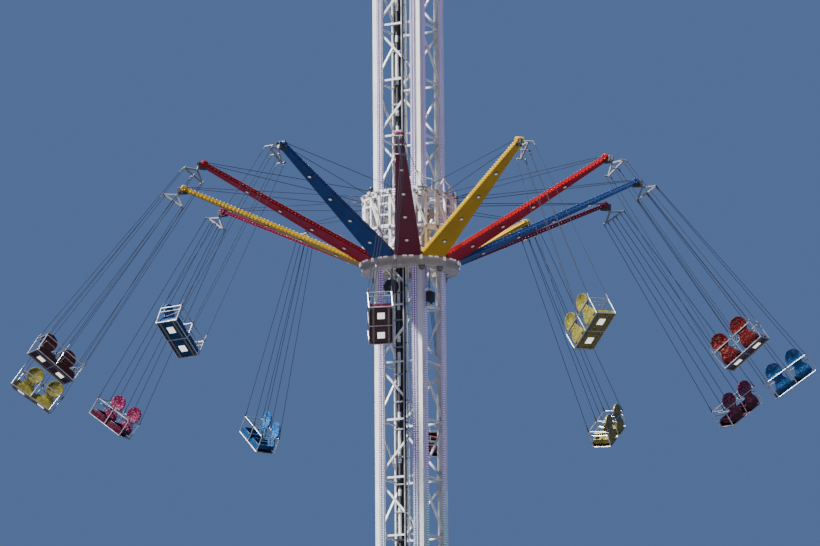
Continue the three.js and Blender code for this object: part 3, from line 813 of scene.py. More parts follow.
def head_details():
    """Roof edge trim, handrails and the mast's lamp on the head frame."""
    z, corner = TOWER_TOP, 0.61
    edge = Vector((0, -0.703, z + 1.02))
    trim = [(turn @ edge, (1.412, 0.008, 0.075), turn.to_3x3()) for turn in quarter_turns()]
    dress(boxes("roof_trim", trim, 0.002), "zinc", "tower")
    rails = [(turn @ Vector((-corner, -corner, z + height)), turn @ Vector((corner, -corner, z + height)))
             for turn in quarter_turns()[1:] for height in (0.5, 0.75)]
    dress(bars("head_rails", rails, 0.018, 8, True), "white", "tower")
    lamp = rod("mast_lamp", (0, 0, z + 1.3), (0, 0, z + 1.318), 0.045, 16, bevel=0.004)
    dress(lamp, "red_bulb", "tower")


# Carriage.
FRAME_PLANE = 0.815
POST_LINE = 0.605
HOOP_LEVELS = (20.65, 21.24, 21.83)
WHEEL_LEVELS = (20.18, 21.66)
WHEEL_PLANE = 0.7135
RING_BOLTS = 48
BOLT_CIRCLE = 1.15
DRIVES = (-48, -23, 69, 167)
DRIVE_REACH = 1.14
REEL = Vector((-0.1, 0, 19.39))


def octagon_hoop(z, height):
    """Entries for boxes(): the eight sides of a square hoop with cut corners."""
    sides = (((0.645, -FRAME_PLANE, z), (-0.645, -FRAME_PLANE, z)), ((0.64, -0.83, z), (0.83, -0.64, z)))
    return [square_bar(turn @ Vector(start), turn @ Vector(end), 0.055, height)
            for turn in quarter_turns() for start, end in sides]


def rope_clamp():
    """Two cheeks and a back plate that hold the carriage to the hoist rope."""
    low, high = 20.57, 20.73
    return [block("clamp", (0.181, -0.795, low), (0.193, -0.705, high), 0.004),
            block("clamp", (0.237, -0.795, low), (0.249, -0.705, high), 0.004),
            block("clamp", (0.181, -0.8, low), (0.249, -0.745, high), 0.004)]


def carriage_frame():
    """Guide posts, hoops, plates and diagonals of the frame round the tower."""
    hoops = boxes("hoops", [entry for z in HOOP_LEVELS for entry in octagon_hoop(z, 0.06)], 0.004)
    posts = (-POST_LINE, POST_LINE)
    face = [((x, -FRAME_PLANE, 20.89), (0.08, 0.06, 1.94), None) for x in posts]
    for low, high in ((19.96, 20.62), (20.68, 21.21), (21.27, 21.8)):
        start, end = (-0.57, -FRAME_PLANE, low), (0.57, -FRAME_PLANE, high)
        face.append(square_bar(start, end, 0.045, 0.04, (0, 1, 0)))
    face += [((x, -0.849, z), (0.11, 0.008, 0.12), None) for x in posts for z in (20.3, 20.95, 21.55)]
    faces = spread("faces", boxes("face", face, 0.004), quarter_turns())
    made = joined("carriage_posts", [hoops, faces, *rope_clamp()])
    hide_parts("carriage_frame")
    dress(made, "frame", "carriage")


def guide_wheels():
    """Wheels that run on the legs, with their forks and pins."""
    wheels = []
    forks = []
    for x in (-POST_LINE, POST_LINE):
        for z in WHEEL_LEVELS:
            hub, out = Vector((x, -WHEEL_PLANE, z)), Vector((1, 0, 0))
            wheels.append(rod("tyre", hub - out * 0.03, hub + out * 0.03, 0.053, 24, bevel=0.008))
            forks.append(rod("pin", hub - out * 0.055, hub + out * 0.055, 0.016, 10))
            for side in (-0.042, 0.042):
                low, high = (x + side - 0.006, -0.79, z - 0.035), (x + side + 0.006, -0.69, z + 0.035)
                forks.append(block("cheek", low, high, 0.003))
    tyres = smooth(spread("guide_wheels", joined("wheels", wheels), quarter_turns()))
    dress(tyres, "rubber", "carriage")
    cheeks = spread("guide_forks", joined("forks", forks), quarter_turns())
    dress(cheeks, "zinc", "carriage")


def ring_underside():
    """Bolts and rolled edge under the slewing ring."""
    pitch = 360 / RING_BOLTS
    places = [Matrix.Translation(polar(BOLT_CIRCLE, pitch * (i + 0.5), 19.845)) for i in range(RING_BOLTS)]
    bolt = rod("bolt", (0, 0, 0), (0, 0, 0.02), 0.014, 6)
    dress(spread("ring_bolts", bolt, places), "ring", "carriage")
    lip = smooth(hoop("ring_lip", 1.208, 0.012, 19.862, 72))
    dress(lip, "ring", "carriage")


def on_drive(name, degrees, low, high, radius, bevel=0.0):
    """A disc on the axis of one slewing drive."""
    start, end = polar(DRIVE_REACH, degrees, low), polar(DRIVE_REACH, degrees, high)
    return rod(name, start, end, radius, 16, bevel=bevel)


def drive_details():
    """Cooling fins and caps on the slewing drives."""
    pieces = []
    for degrees in DRIVES:
        for i in range(4):
            low = 19.776 + i * 0.021
            pieces.append(on_drive("fin", degrees, low, low + 0.007, 0.08))
        pieces.append(on_drive("cap", degrees, 19.745, 19.765, 0.058, 0.006))
    dress(smooth(joined("drive_fins", pieces)), "dark", "carriage")


def on_reel(name, near, far, radius, sides, bevel=0.0):
    """A disc or pin on the hose reel's axis, from one depth to another."""
    return rod(name, REEL + Vector((0, near, 0)), REEL + Vector((0, far, 0)), radius, sides, bevel=bevel)


def hung_equipment():
    """A hose reel and a control box with two lamps, hung from the slewing base on straps."""
    dark = [on_reel("rim", near, near - 0.015, 0.19, 32, 0.003) for near in (-0.775, -0.845)]
    dark += [on_reel("hose", -0.79, -0.845, 0.155, 32),
             block("box", (0.715, -0.53, 18.99), (0.86, -0.33, 19.25), 0.015),
             block("lid", (0.858, -0.51, 19.01), (0.868, -0.35, 19.23), 0.004),
             rod("gland", (0.79, -0.38, 18.95), (0.79, -0.38, 18.99), 0.018, 10)]
    dress(smooth(joined("hung_equipment", dark)), "dark", "carriage")
    straps = [block("strap", (-0.125, -0.774, 19.34), (-0.075, -0.768, SLEWING_FACE), 0.002),
              on_reel("pin", -0.768, -0.87, 0.016, 12),
              block("guide", (-0.33, -0.8, 19.44), (-0.16, -0.77, 19.465), 0.004),
              block("guide", (-0.33, -0.8, 19.36), (-0.3, -0.77, 19.46), 0.004)]
    straps += [block("strap", (0.708, y, 18.86), (0.716, y + 0.05, SLEWING_FACE), 0.002)
               for y in (-0.55, -0.36)]
    dress(joined("equipment_straps", straps), "zinc", "carriage")
    lamps = [rod("lamp", (0.72, y, 19.3), (0.79, y, 19.3), 0.035, 16, bevel=0.005) for y in (-0.58, -0.45)]
    shelf = block("shelf", (0.705, -0.62, 18.84), (0.87, -0.28, 18.865), 0.004)
    dress(joined("equipment_lamps", [shelf, *lamps]), "cage", "carriage")


# Turntable and cage.
CAGE_MIDDLE = 20.83
RIM_LAMP_AT = -117.5
# Angle and height of the loose cable's bends along the rim, and which of them hang on a post.
CABLE_BENDS = ((-58, 22.14), (-53.2, 22.22), (-48.3, 22.1), (-40.6, 22.03), (-33.9, 22.02), (-26.7, 21.96),
               (-20.4, 21.93), (-15.1, 22.06), (-3.8, 21.93), (7.8, 21.87), (24, 21.85), (40, 21.98),
               (52, 21.8))
POSTED_BENDS = (1, 4, 7, 8, 11)


def turntable_details():
    """Thin near-black line along the turntable's top edge, a painted shadow of the gaps between its plates;
    small plates between the arms' roots and a pair under each root, made to glow as painted sunlit
    highlights.
    """
    reach = star_sizes().ring_reach
    # A thin near-black ring on the top edge: painted shadow of the gaps between the turntable's plates.
    edge = smooth(hoop("turntable_edge", reach - 0.003, 0.007, 20.078, 72, 6))
    dress(edge, "dark", "rotor")
    # Plates that glow: painted sunlit highlights, not lamps.
    marker = block("marker", (reach + 0.001, -0.034, 19.99), (reach + 0.03, 0.034, 20.1), 0.004)
    dress(spread("root_brackets", marker, spokes(STEP / 2)), "marker", "rotor")
    pair = [block("marker", (reach + 0.002, y - 0.055, 20.046), (reach + 0.022, y + 0.055, RING_TOP), 0.003)
            for y in (-0.08, 0.08)]
    dress(spread("root_plates", joined("pair", pair), spokes()), "marker", "rotor")


def cage_side():
    """Entries for boxes(): rings, paired posts, cross pieces and end plates of one side of the cage."""
    sizes = star_sizes()
    reach, top = sizes.cage_reach, sizes.cage_top
    width = 2 * reach * math.tan(STEP / 2) + 0.02
    rings = ((ARM_FLOOR + 0.1, 0.09, 0.2), (CAGE_MIDDLE, 0.08, 0.06), (top - 0.0225, 0.05, 0.045),
             (top - 0.1375, 0.05, 0.045))
    entries = [((reach, 0, z), (depth, width, height), None) for z, depth, height in rings]
    for y in (-CAGE_POST, CAGE_POST):
        entries.append(((reach, y, (ARM_FLOOR + top) / 2 + 0.1), (0.07, 0.07, top - ARM_FLOOR - 0.22), None))
    for z, height in ((CAGE_MIDDLE, 0.13), (21.14, 0.05), (21.42, 0.04)):
        entries.append(((reach, 0, z), (0.05, 0.26, height), None))
    for y in (-0.208, 0.208):
        entries.append(((reach + 0.0125, y, top - 0.08), (0.065, 0.014, 0.16), None))
    return entries


def cage_diagonals():
    """Entries for boxes(): the two thick diagonals from one side of the cage to the next."""
    near, next_side = star_sizes().cage_reach + 0.025, Matrix.Rotation(STEP, 3, "Z")
    entries = []
    for low, high in ((20.3, 20.79), (21.6, 20.87)):
        start, end = Vector((near, CAGE_POST, low)), next_side @ Vector((near, -CAGE_POST, high))
        entries.append(square_bar(start, end, 0.06, 0.045, (1, 0, 0)))
    return entries


def cage_frame():
    """The twelve sides of the cage with the diagonals between them."""
    side = boxes("cage_side", cage_side(), 0.004)
    diagonal = boxes("cage_diagonal", cage_diagonals())
    panels = spread("cage_panels", side, spokes())
    braces = spread("cage_braces", diagonal, spokes())
    made = joined("cage", [panels, braces])
    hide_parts("rotor_cage")
    dress(made, "cage", "rotor")


def cage_fittings():
    """Small boxes, clamps and bolts on the cage, and the round lamp on its rim."""
    sizes = star_sizes()
    reach, top = sizes.cage_reach, sizes.cage_top
    clamp = block("clamp", (reach + 0.03, -0.03, -0.04), (reach + 0.062, 0.03, 0.04), 0.005)
    head = rod("head", (reach + 0.058, 0, 0), (reach + 0.076, 0, 0), 0.014, 6)
    clamp = joined("clamp", [clamp, head])
    places = [turn @ Matrix.Translation((0, y, z)) for turn in spokes() for y in (-CAGE_POST, CAGE_POST)
              for z in (CAGE_MIDDLE, top - 0.04)]
    dress(spread("cage_clamps", clamp, places), "zinc", "rotor")
    housing = block("housing", (reach - 0.03, -0.07, 21.02), (reach + 0.05, 0.07, 21.26), 0.01)
    shaped(housing, lambda centre, normal: normal.x > 0.9, inset(0.015, -0.006))
    dress(spread("cage_boxes", housing, spokes()[1::3]), "grey", "rotor")
    at = polar(reach + 0.01, RIM_LAMP_AT, top)
    eye = [smooth(ball("eye", at + Vector((0, 0, 0.094)), 0.06, 20, 14), 180),
           rod("stem", at - Vector((0, 0, 0.02)), at + Vector((0, 0, 0.05)), 0.02, 10)]
    dress(joined("rim_lamp", eye), "dark", "rotor")


def rim_cable():
    """Thin posts on the cage's rim with a loose white cable slung over them."""
    reach, top = star_sizes().cage_reach + 0.015, star_sizes().cage_top
    path = [polar(reach, degrees, z) for degrees, z in CABLE_BENDS]
    pieces = [bars("cable", list(zip(path, path[1:])), 0.013, 6, True)]
    for index in POSTED_BENDS:
        degrees, z = CABLE_BENDS[index]
        foot, tip = polar(reach, degrees, top - 0.03), polar(reach, degrees, z + 0.02)
        pieces.append(rod("post", foot, tip, 0.016, 8))
    dress(smooth(joined("rim_cable", pieces)), "cage", "rotor")


# Arms.
BULB_HEIGHT = 0.0205
UNDER_LAMPS = (0.127, 0.327, 0.524, 0.727)
STAY_ANGLE = math.radians(20)


def arm_shell():
    """A tapered box beam with recessed faces, a round tip and a root flange, along +X."""
    sizes = star_sizes()
    half = ROOT_WIDTH / 2
    root, shoulder = sizes.arm_root, sizes.ring_reach
    beam = block("arm", (root, -half, ARM_FLOOR), (shoulder, half, ARM_FLOOR + SHOULDER[1]))
    run = Vector((sizes.arm_tip - shoulder, 0, TIP_HEIGHT - SHOULDER_HEIGHT))
    shaped(beam, lambda centre, normal: normal.x > 0.9,
           lambda: bpy.ops.transform.resize(value=(1, SHOULDER[0] / ROOT_WIDTH, 1)),
           pull(run, (1, TIP[0] / SHOULDER[0], TIP[1] / SHOULDER[1])))
    shaped(beam, lambda centre, normal: abs(normal.x) < 0.8 and centre.x > 2, inset(0.015, -0.004, True))
    softened(beam, 0.005, 2, 25)
    across = Vector((0, 0.1, 0))
    knob = rod("knob", KNOB - across, KNOB + across, 0.083, 32, bevel=0.016)
    flange = block("flange", (root, -half, ARM_FLOOR), (root + 0.012, half, 20.24), 0.004)
    return smooth(joined("arm", [beam, knob, flange]))


def along_arm(share, y_share, up):
    """A point on an arm: share of its length, share of its half width, and height above its middle."""
    sizes = star_sizes()
    start, end = Vector((sizes.ring_reach, 0, SHOULDER_HEIGHT)), Vector((sizes.arm_tip, 0, TIP_HEIGHT))
    centre = start.lerp(end, share)
    width, height = [wide + (narrow - wide) * share for wide, narrow in zip(SHOULDER, TIP)]
    normal = Vector((-(end - start).z, 0, (end - start).x)).normalized()
    return centre + Vector((0, y_share * width / 2, 0)) + normal * (up * height / 2)


def arm_bulb_places():
    """Where the bulbs stand: along both upper edges and both flanks."""
    sizes = star_sizes()
    run = along_arm(1, 0, 0) - along_arm(0, 0, 0)
    count = int(run.length / sizes.bulb_pitch)
    rise = Matrix.Rotation(-math.atan2(run.z, run.x), 4, "Y")
    places = []
    for i in range(1, count - 1):
        share = i / count
        for side in (-1, 1):
            flank = Matrix.Rotation(-side * math.radians(90), 4, "X")
            places.append(Matrix.Translation(along_arm(share, side, -0.1)) @ rise @ flank)
            places.append(Matrix.Translation(along_arm(share, side * 0.9, 0.97)) @ rise)
    return places


def tip_bulb_places():
    """A ring of bulbs on each end of the arm's round tip."""
    places = []
    for side in (-1, 1):
        middle = Matrix.Translation(KNOB + Vector((0, side * 0.099, 0)))
        face = middle @ Matrix.Rotation(-side * math.radians(90), 4, "X")
        places += [face @ Matrix.Translation(polar(0.05, 60 * i)) for i in range(6)]
    return places


def under_lamp_places():
    """Where the lamps under an arm sit, facing down."""
    run = along_arm(1, 0, 0) - along_arm(0, 0, 0)
    rise = Matrix.Rotation(-math.atan2(run.z, run.x) + math.pi, 4, "Y")
    return [Matrix.Translation(along_arm(share, 0, -0.94)) @ rise for share in UNDER_LAMPS]


def fork_model():
    """Cheeks, pin and nuts that carry the chair at an arm's tip."""
    cheeks = [block("cheek", (-0.2, y, -0.052), (0.052, y + 0.025, 0.12), 0.01) for y in (-0.065, 0.04)]
    pin = rod("pin", (0, -0.085, 0), (0, 0.085, 0), 0.021, 16, bevel=0.004)
    nuts = [rod("nut", (0, y, 0), (0, y + 0.016, 0), 0.034, 6) for y in (-0.081, 0.065)]
    made = joined("fork", [*cheeks, pin, *nuts])
    made.data.transform(Matrix.Translation(PIVOT) @ Matrix.Rotation(-TRAIL, 4, "Z"))
    return made


def stay_runs():
    """Both stays of the arm along +X, from its tip to the cage's top rim."""
    sizes = star_sizes()
    runs = []
    for side, drop in ((1, 0.04), (-1, 0.12)):
        angle = side * STAY_ANGLE
        reach = (sizes.cage_reach + 0.045) / math.cos(STEP - STAY_ANGLE)
        end = Vector((reach * math.cos(angle), reach * math.sin(angle), sizes.cage_top - drop))
        start = Vector((sizes.arm_tip - 0.04, side * 0.06, 22.12))
        runs.append((start, end))
    return runs


def stays():
    """Stays with their sockets, turnbuckles and rim lugs."""
    runs = stay_runs()
    cables = bars("stay_cables", runs, star_sizes().stay_radius, 6)
    dress(spread("arm_stays", cables, spokes()), "wire", "rotor")
    pieces = []
    for start, end in runs:
        along = (end - start).normalized()
        pieces.append(rod("socket", start + along * 0.06, start + along * 0.16, 0.011, 10, tip=0.009))
        pieces.append(rod("socket", end - along * 0.02, end - along * 0.12, 0.011, 10, tip=0.009))
        pieces.append(rod("buckle", end - along * 0.18, end - along * 0.36, 0.012, 8, bevel=0.003))
        pieces.append(ball("eye", end - along * 0.01, 0.018, 10, 8))
        pieces.append(ball("eye", start + along * 0.05, 0.02, 10, 8))
    fittings = smooth(joined("stay_fittings", pieces))
    dress(spread("stay_sockets", fittings, spokes()), "socket", "rotor")


def star():
    """The twelve arms in their paints, each with the fork at its tip."""
    shell = arm_shell()
    for i, turn in enumerate(spokes()):
        paint = PAINTS[i % len(PAINTS)]
        piece = duplicate(shell, turn, f"arm_shell_{i + 1:02d}")
        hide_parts(f"arm_{i + 1:02d}")
        dress(piece, paint, "rotor")
    bpy.data.objects.remove(shell)
    # The forks wear the near-black fork paint: painted shade.
    dress(spread("arm_forks", fork_model(), spokes()), "fork", "rotor")


def bulbs():
    """The bulbs of each paint's arms, and the lamps under all arms."""
    bulb = lamp_unit("bulb", star_sizes().bulb_radius, BULB_HEIGHT)
    line = spread("bulb_line", bulb, arm_bulb_places() + tip_bulb_places())
    places = spokes()
    for i, paint in enumerate(PAINTS):
        own = spread(f"{paint}_bulbs", duplicate(line, Matrix.Identity(4)), places[i::len(PAINTS)])
        dress(own, f"{paint}_bulb", "rotor")
    bpy.data.objects.remove(line)
    rim = rod("rim", (0, 0, -0.012), (0, 0, 0.01), 0.06, 20, bevel=0.004)
    glass = rod("glass", (0, 0, 0.006), (0, 0, 0.016), 0.044, 20)
    shaped(glass, lambda centre, normal: normal.z > 0.9, pull((0, 0, 0.01), (0.6, 0.6, 1)))
    rims = spread("rims", rim, under_lamp_places())
    glasses = spread("glasses", smooth(glass, 60), under_lamp_places())
    dress(spread("under_lamp_rims", rims, places), "socket", "rotor")
    dress(spread("under_lamps", glasses, places), "arm_lamp", "rotor")


# Chairs, modelled hanging straight down from a pin at the origin.
SPREADER_HALF = 0.285
SPREADER_BASE = -0.265
ROPE_ROW = 0.115


def chair_place(number):
    swing = Matrix.Rotation(-TRAIL, 4, "Z") @ Matrix.Rotation(-SWING, 4, "Y")
    return spokes()[number] @ Matrix.Translation(PIVOT) @ swing


def narrowed(x, z):
    """The frame is a little narrower at its foot than at its top."""
    taper, top, height = 0.02, -5.85, 0.5
    return x * (1 - taper * (top - z) / height)


def spreader_model():
    """Eye, neck and welded triangle with its cross pieces."""
    corners = [(0, -0.085), (-SPREADER_HALF, SPREADER_BASE), (SPREADER_HALF, SPREADER_BASE)]
    entries = [square_bar((x0, 0, z0), (x1, 0, z1), 0.04, 0.04, (0, 1, 0))
               for (x0, z0), (x1, z1) in zip(corners, corners[1:] + corners[:1])]
    entries.append(((0, 0, -0.065), (0.05, 0.05, 0.08), None))
    triangle = boxes("triangle", entries, 0.006)
    eye = rod("eye", (0, -0.038, 0), (0, 0.038, 0), 0.048, 20, bevel=0.005)
    crosses = [block("cross", (x - 0.013, -0.13, -0.28), (x + 0.013, 0.13, -0.25), 0.005)
               for x in (-SPREADER_HALF, 0, SPREADER_HALF)]
    return joined("spreader", [triangle, eye, *crosses])


def rope_runs():
    """The six ropes, from the spreader's cross pieces to the joints of the leaned frame."""
    sizes = chair_sizes()
    return [(Vector((column * SPREADER_HALF, side * ROPE_ROW, -0.27)),
             LEAN @ Vector((column * sizes.half, side * sizes.depth, -5.868)))
            for column in (-1, 0, 1) for side in (-1, 1)]


def shackles_model():
    """Shackles, thimbles and ferrules at both ends of the six ropes."""
    pieces = []
    for start, end in rope_runs():
        along = (end - start).normalized()
        pieces.append(rod("shackle", start, start + along * 0.055, 0.017, 8, tip=0.011, bevel=0.002))
        pieces.append(rod("ferrule", start + along * 0.055, start + along * 0.11, 0.0115, 8, tip=0.009))
        pieces.append(rod("bolt", start + Vector((0, -0.032, 0)), start + Vector((0, 0.032, 0)), 0.009, 8))
        pieces.append(rod("shackle", end, end - along * 0.07, 0.024, 8, tip=0.015, bevel=0.002))
        pieces.append(rod("ferrule", end - along * 0.07, end - along * 0.17, 0.014, 8, tip=0.01))
    return smooth(joined("shackles", pieces))


def chair_frame_model():
    """The gondola's bent tubes, with a thinner lap bar round each rider's place."""
    sizes = chair_sizes()
    half, depth = sizes.half, sizes.depth
    top, rung, low = -5.87, -5.99, -6.33

    def at(x, y, z):
        return Vector((narrowed(x, z), y * depth, z))

    runs = []
    for x in (-half, half):
        runs += [(at(x, y, low), at(x, y, top)) for y in (-1, 1)]
        runs += [(at(x, -1, z), at(x, 1, z)) for z in (low, top)]
    runs += [(at(0, y, low), at(0, y, top)) for y in (-1, 1)]
    runs += [(at(0, -1, z), at(0, 1, z)) for z in (low, top)]
    for y, z in ((-1, low), (1, low), (-1, top), (1, top)):
        runs.append((at(-half, y, z), at(0, y, z)))
        runs.append((at(0, y, z), at(half, y, z)))
    main = bars("chair_tubes", runs, sizes.tube, 10, True)
    slim = [(at(x, -1, rung), at(x, 1, rung)) for x in (-half, half)]
    for seat in SEATS:
        rear = [Vector((seat + side * 0.115, -0.23, -5.985)) for side in (-1, 1)]
        front = [Vector((seat + side * 0.19, 0.17, -5.965)) for side in (-1, 1)]
        slim += [(rear[0], front[0]), (front[0], front[1]), (front[1], rear[1])]
    return smooth(joined("chair_frame", [main, bars("chair_slim", slim, 0.01, 8, True)]), 50)


def seat_back_model():
    """Round back with a dished face and a rolled rim, narrowing to a waist and flaring to the pan."""
    disc = rod("disc", (0, -0.262, -5.75), (0, -0.222, -5.75), 0.213, 32)
    shaped(disc, lambda centre, normal: abs(normal.y) > 0.9 and centre.y > -0.23, inset(0.03, 0.0),
           pull((0, -0.012, 0), (0.86, 1, 0.86)))
    shaped(disc, lambda centre, normal: abs(normal.y) > 0.9 and centre.y < -0.26, inset(0.018, 0.0),
           pull((0, 0.006, 0), (0.96, 1, 0.96)))
    neck = block("neck", (-0.125, -0.26, -5.975), (0.125, -0.224, -5.87))
    shaped(neck, lambda centre, normal: normal.z < -0.9,
           pull((0, 0, -0.135), (1.6, 1, 1)), pull((0, 0, -0.13)))
    return softened(united(disc, neck), 0.006, 2, 40)


def seat_pan_model():
    """Bucket pan with rolled rim, sloping front lip and a channel under it."""
    pan = block("pan", (-0.205, -0.262, -6.265), (0.205, 0.24, -6.14))
    shaped(pan, lambda centre, normal: normal.z > 0.9, inset(0.025), pull((0, 0, -0.1), (0.94, 0.96, 1)))
    softened(pan, 0.012, 3, 40)
    keel = block("keel", (-0.125, -0.257, -6.32), (0.125, 0.235, -6.26), 0.01)
    return joined("pan", [pan, keel])


def in_both_seats(name, model):
    return spread(name, model, [Matrix.Translation((x, 0, 0)) for x in SEATS])


def backs_model():
    return in_both_seats("seats", smooth(seat_back_model(), 40))


def pans_model():
    """Both bucket pans on their common floor, with a skirt along its front."""
    pan = smooth(seat_pan_model(), 40)
    floor = block("floor", (-0.558, -0.254, -6.331), (0.558, 0.254, -6.321), 0.003)
    shaped(floor, lambda centre, normal: normal.z < -0.9, inset(0.03, -0.003))
    skirt = block("skirt", (-0.545, 0.238, -6.322), (0.545, 0.249, -6.19), 0.004)
    return joined("pans", [in_both_seats("pans", pan), floor, skirt])


def chair_trim_model():
    """Rails under the floor, with their cleats at the frame's corners."""
    half, rail = 0.556, 0.022
    pieces = [block("rail", (-half, y - rail, -6.343), (half, y + rail, -6.329), 0.003)
              for y in (-0.17, 0.17)]
    for x in (-0.53, 0.53):
        for y in (-0.235, 0.235):
            pieces.append(block("cleat", (x - 0.02, y - 0.02, -6.34), (x + 0.02, y + 0.02, -6.328), 0.003))
    return joined("chair_trim", pieces)


def under_panels_model():
    """The lit square sheet under each seat, in its shallow frame."""
    panels = []
    for x in SEATS:
        panel = block("panel", (x - 0.092, -0.082, -6.338), (x + 0.092, 0.082, -6.33), 0.002)
        panels.append(shaped(panel, lambda centre, normal: normal.z < -0.9, inset(0.01, -0.002)))
    return joined("under_panels", panels)


def chairs():
    """Twelve gondolas on their ropes. Each model has its finish, its slot or None for the paint's own,
    and whether it leans with the frame."""
    models = {
        "spreader": (spreader_model(), "spreader", "hanger_steel", False),
        "ropes": (bars("ropes", rope_runs(), chair_sizes().rope, 6), "wire", "hanger_steel", False),
        "shackles": (shackles_model(), "dark", "hanger_steel", False),
        "tubes": (chair_frame_model(), "silver", None, True),
        "seats": (backs_model(), "seat", None, True),
        # The pans and their front skirt take the scaled pan gel coat: painted shade, and painted light on
        # the yellow chairs.
        "pans": (pans_model(), "pan", None, True),
        "trim": (chair_trim_model(), "olive", None, True),
        "panels": (under_panels_model(), "panel", None, True),
    }
    for number in range(ARMS):
        paint = PAINTS[number % len(PAINTS)]
        body = f"chair_{number + 1:02d}"
        for kind, (model, finish, slot, leans) in models.items():
            place = chair_place(number) @ LEAN if leans else chair_place(number)
            piece = duplicate(model, place, f"{kind}_{number + 1:02d}")
            if kind == "spreader":
                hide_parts(f"hanger_{number + 1:02d}")
            if kind == "seats":
                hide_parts(f"gondola_{number + 1:02d}")
            look = f"{paint}_{finish}" if kind in ("seats", "pans") else finish
            dress(piece, look, body)
    for model, *_ in models.values():
        bpy.data.objects.remove(model)


# Stage.
CAMERA_AZIMUTH = 27.3
CAMERA_PITCH = 10.81
CAMERA_ROLL = -0.44
CAMERA_DISTANCE = 95.0
CAMERA_TARGET = Vector((0, 0, 19.861))
LENS = 168.3
SENSOR = 36
FLOOR_RADIUS = 6.5
WORLD_TINT = (0.09, 0.152, 0.33, 1)
# Name, degrees from the camera's azimuth, degrees up, energy, width in degrees and tint.
SUNS = (("key", -72.4, 56, 16.0, 3, (1, 1, 1)), ("fill", 65, 20, 0.28, 60, (1, 0.88, 0.72)),
        ("bounce", -10, -48, 0.8, 90, (1, 0.7, 0.36)))


def floor_and_lights():
    """A small pale floor, an even sky and three suns."""
    activate()
    bpy.ops.mesh.primitive_circle_add(
        vertices=96, radius=FLOOR_RADIUS, fill_type="NGON", location=(0, 0, -0.002))
    floor = settle(bpy.context.object, "studio_floor")
    floor.data.materials.append(studio_floor("studio_floor"))
    world = bpy.data.worlds.new("studio")
    bpy.context.scene.world = world
    world.use_nodes = True
    world.node_tree.nodes["Background"].inputs["Color"].default_value = WORLD_TINT
    world.node_tree.nodes["Background"].inputs["Strength"].default_value = 1.0
    for name, degrees, height, energy, angle, tint in SUNS:
        azimuth = math.radians(CAMERA_AZIMUTH + degrees)
        aim_from = Vector((math.sin(azimuth), -math.cos(azimuth), math.tan(math.radians(height))))
        activate()
        bpy.ops.object.light_add(type="SUN", rotation=aim_from.to_track_quat("Z", "Y").to_euler())
        light = bpy.context.object
        light.name = name
        light.data.energy = energy
        light.data.color = tint
        light.data.angle = math.radians(angle)


def camera():
    """The photograph's camera, low down and looking up."""
    azimuth, pitch = math.radians(CAMERA_AZIMUTH), math.radians(CAMERA_PITCH)
    level = math.cos(pitch)
    back = Vector((math.sin(azimuth) * level, -math.cos(azimuth) * level, -math.sin(pitch)))
    activate()
    bpy.ops.object.camera_add(location=CAMERA_TARGET + back * CAMERA_DISTANCE)
    made = bpy.context.object
    turn = back.to_track_quat("Z", "Y").to_matrix() @ Matrix.Rotation(math.radians(CAMERA_ROLL), 3, "Z")
    made.rotation_euler = turn.to_euler()
    made.data.lens = LENS
    made.data.sensor_width = SENSOR
    made.data.clip_end = 1000
    bpy.context.scene.camera = made


# Operators.
SOLID_FINISHES = {
    "base_frame": "grey", "winch": "dark", "tower_lower": "white", "tower_middle": "white",
    # The cable tray's near-black finish is painted shade.
    "tower_upper": "white", "tower_head": "white", "hoist_rope": "wire", "cable_tray": "tray",
    "power_rail": "rail", "slewing_base": "ring", "turntable": "ring",
}


class SWING_OT_stage(Operator):
    """Add the floor, the lights and the camera"""
    bl_idname = "swing.stage"
    bl_label = "Stage and Camera"

    def execute(self, context):
        camera()
        floor_and_lights()
        return {"FINISHED"}


class SWING_OT_finishes(Operator):
    """Make the materials and give the solids that stay in view their finish"""
    bl_idname = "swing.finishes"
    bl_label = "Finishes"

    def execute(self, context):
        make_finishes()
        for node, finish in SOLID_FINISHES.items():
            refinish(node, finish)
        return {"FINISHED"}


class SWING_OT_tower(Operator):
    """Add the gussets, splice plates and inner braces of the tower"""
    bl_idname = "swing.tower"
    bl_label = "Tower Joints"

    def execute(self, context):
        gussets()
        splice_plates()
        inner_braces()
        return {"FINISHED"}


class SWING_OT_tower_lamps(Operator):
    """Add the lamps beside the tower's legs"""
    bl_idname = "swing.tower_lamps"
    bl_label = "Tower Lamps"

    def execute(self, context):
        lamp_channels()
        tower_lamps()
        return {"FINISHED"}


class SWING_OT_services(Operator):
    """Add the rungs, pipe and cables of the tray and the insulators of the rails"""
    bl_idname = "swing.services"
    bl_label = "Tray and Rails"

    def execute(self, context):
        tray_details()
        rail_details()
        return {"FINISHED"}


class SWING_OT_ends(Operator):
    """Finish the base frame, the winch and the head"""
    bl_idname = "swing.ends"
    bl_label = "Base, Winch and Head"

    def execute(self, context):
        base_details()
        winch_details()
        head_details()
        return {"FINISHED"}


class SWING_OT_carriage(Operator):
    """Build the carriage's frame and add its wheels, drives and hung equipment"""
    bl_idname = "swing.carriage"
    bl_label = "Carriage"

    def execute(self, context):
        carriage_frame()
        guide_wheels()
        ring_underside()
        drive_details()
        hung_equipment()
        return {"FINISHED"}


class SWING_OT_cage(Operator):
    """Build the turntable's fittings and the cage"""
    bl_idname = "swing.cage"
    bl_label = "Turntable and Cage"

    def execute(self, context):
        turntable_details()
        cage_frame()
        cage_fittings()
        rim_cable()
        return {"FINISHED"}


class SWING_OT_arms(Operator):
    """Build the arms with their forks and stays"""
    bl_idname = "swing.arms"
    bl_label = "Arms and Stays"

    def execute(self, context):
        star()
        stays()
        return {"FINISHED"}


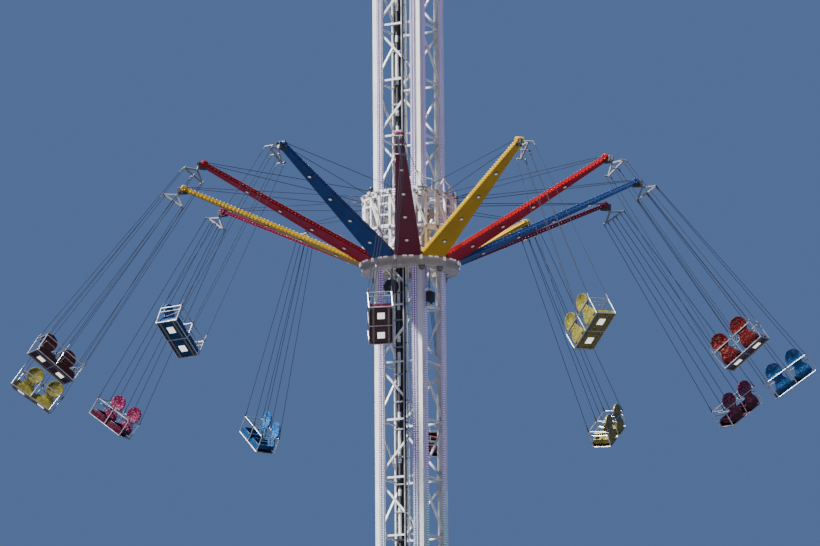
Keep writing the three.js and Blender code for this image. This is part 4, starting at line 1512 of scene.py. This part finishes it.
class SWING_OT_bulbs(Operator):
    """Add the bulbs along the arms and the lamps under them"""
    bl_idname = "swing.bulbs"
    bl_label = "Arm Bulbs"

    def execute(self, context):
        bulbs()
        return {"FINISHED"}


class SWING_OT_chairs(Operator):
    """Build the spreaders, ropes and gondolas"""
    bl_idname = "swing.chairs"
    bl_label = "Chairs"

    def execute(self, context):
        chairs()
        return {"FINISHED"}


class SWING_PT_sidebar(Panel):
    """Lists the steps that build the ride"""
    bl_label = "Swing Ride"
    bl_idname = "SWING_PT_sidebar"
    bl_space_type = "VIEW_3D"
    bl_region_type = "UI"
    bl_category = "Swing Ride"

    def draw(self, context):
        for step in STEPS:
            self.layout.operator(step.bl_idname)
        for group in (context.scene.swing_tower, context.scene.swing_star, context.scene.swing_chair,
                      context.scene.swing_colours):
            for name in group.__annotations__:
                self.layout.prop(group, name)


STEPS = (SWING_OT_stage, SWING_OT_finishes, SWING_OT_tower, SWING_OT_tower_lamps, SWING_OT_services,
         SWING_OT_ends, SWING_OT_carriage, SWING_OT_cage, SWING_OT_arms, SWING_OT_bulbs, SWING_OT_chairs)
CLASSES = (TowerSizes, StarSizes, ChairSizes, RideColours, *STEPS, SWING_PT_sidebar)


def register():
    for item in CLASSES:
        bpy.utils.register_class(item)
    bpy.types.Scene.swing_tower = PointerProperty(type=TowerSizes)
    bpy.types.Scene.swing_star = PointerProperty(type=StarSizes)
    bpy.types.Scene.swing_chair = PointerProperty(type=ChairSizes)
    bpy.types.Scene.swing_colours = PointerProperty(type=RideColours)


def unregister():
    for name in ("swing_tower", "swing_star", "swing_chair", "swing_colours"):
        delattr(bpy.types.Scene, name)
    for item in reversed(CLASSES):
        bpy.utils.unregister_class(item)


def main():
    register()
    bpy.ops.swing.stage()
    bpy.ops.swing.finishes()
    bpy.ops.swing.tower()
    bpy.ops.swing.tower_lamps()
    bpy.ops.swing.services()
    bpy.ops.swing.ends()
    bpy.ops.swing.carriage()
    bpy.ops.swing.cage()
    bpy.ops.swing.arms()
    bpy.ops.swing.bulbs()
    bpy.ops.swing.chairs()
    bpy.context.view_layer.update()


if __name__ == "__main__":
    main()
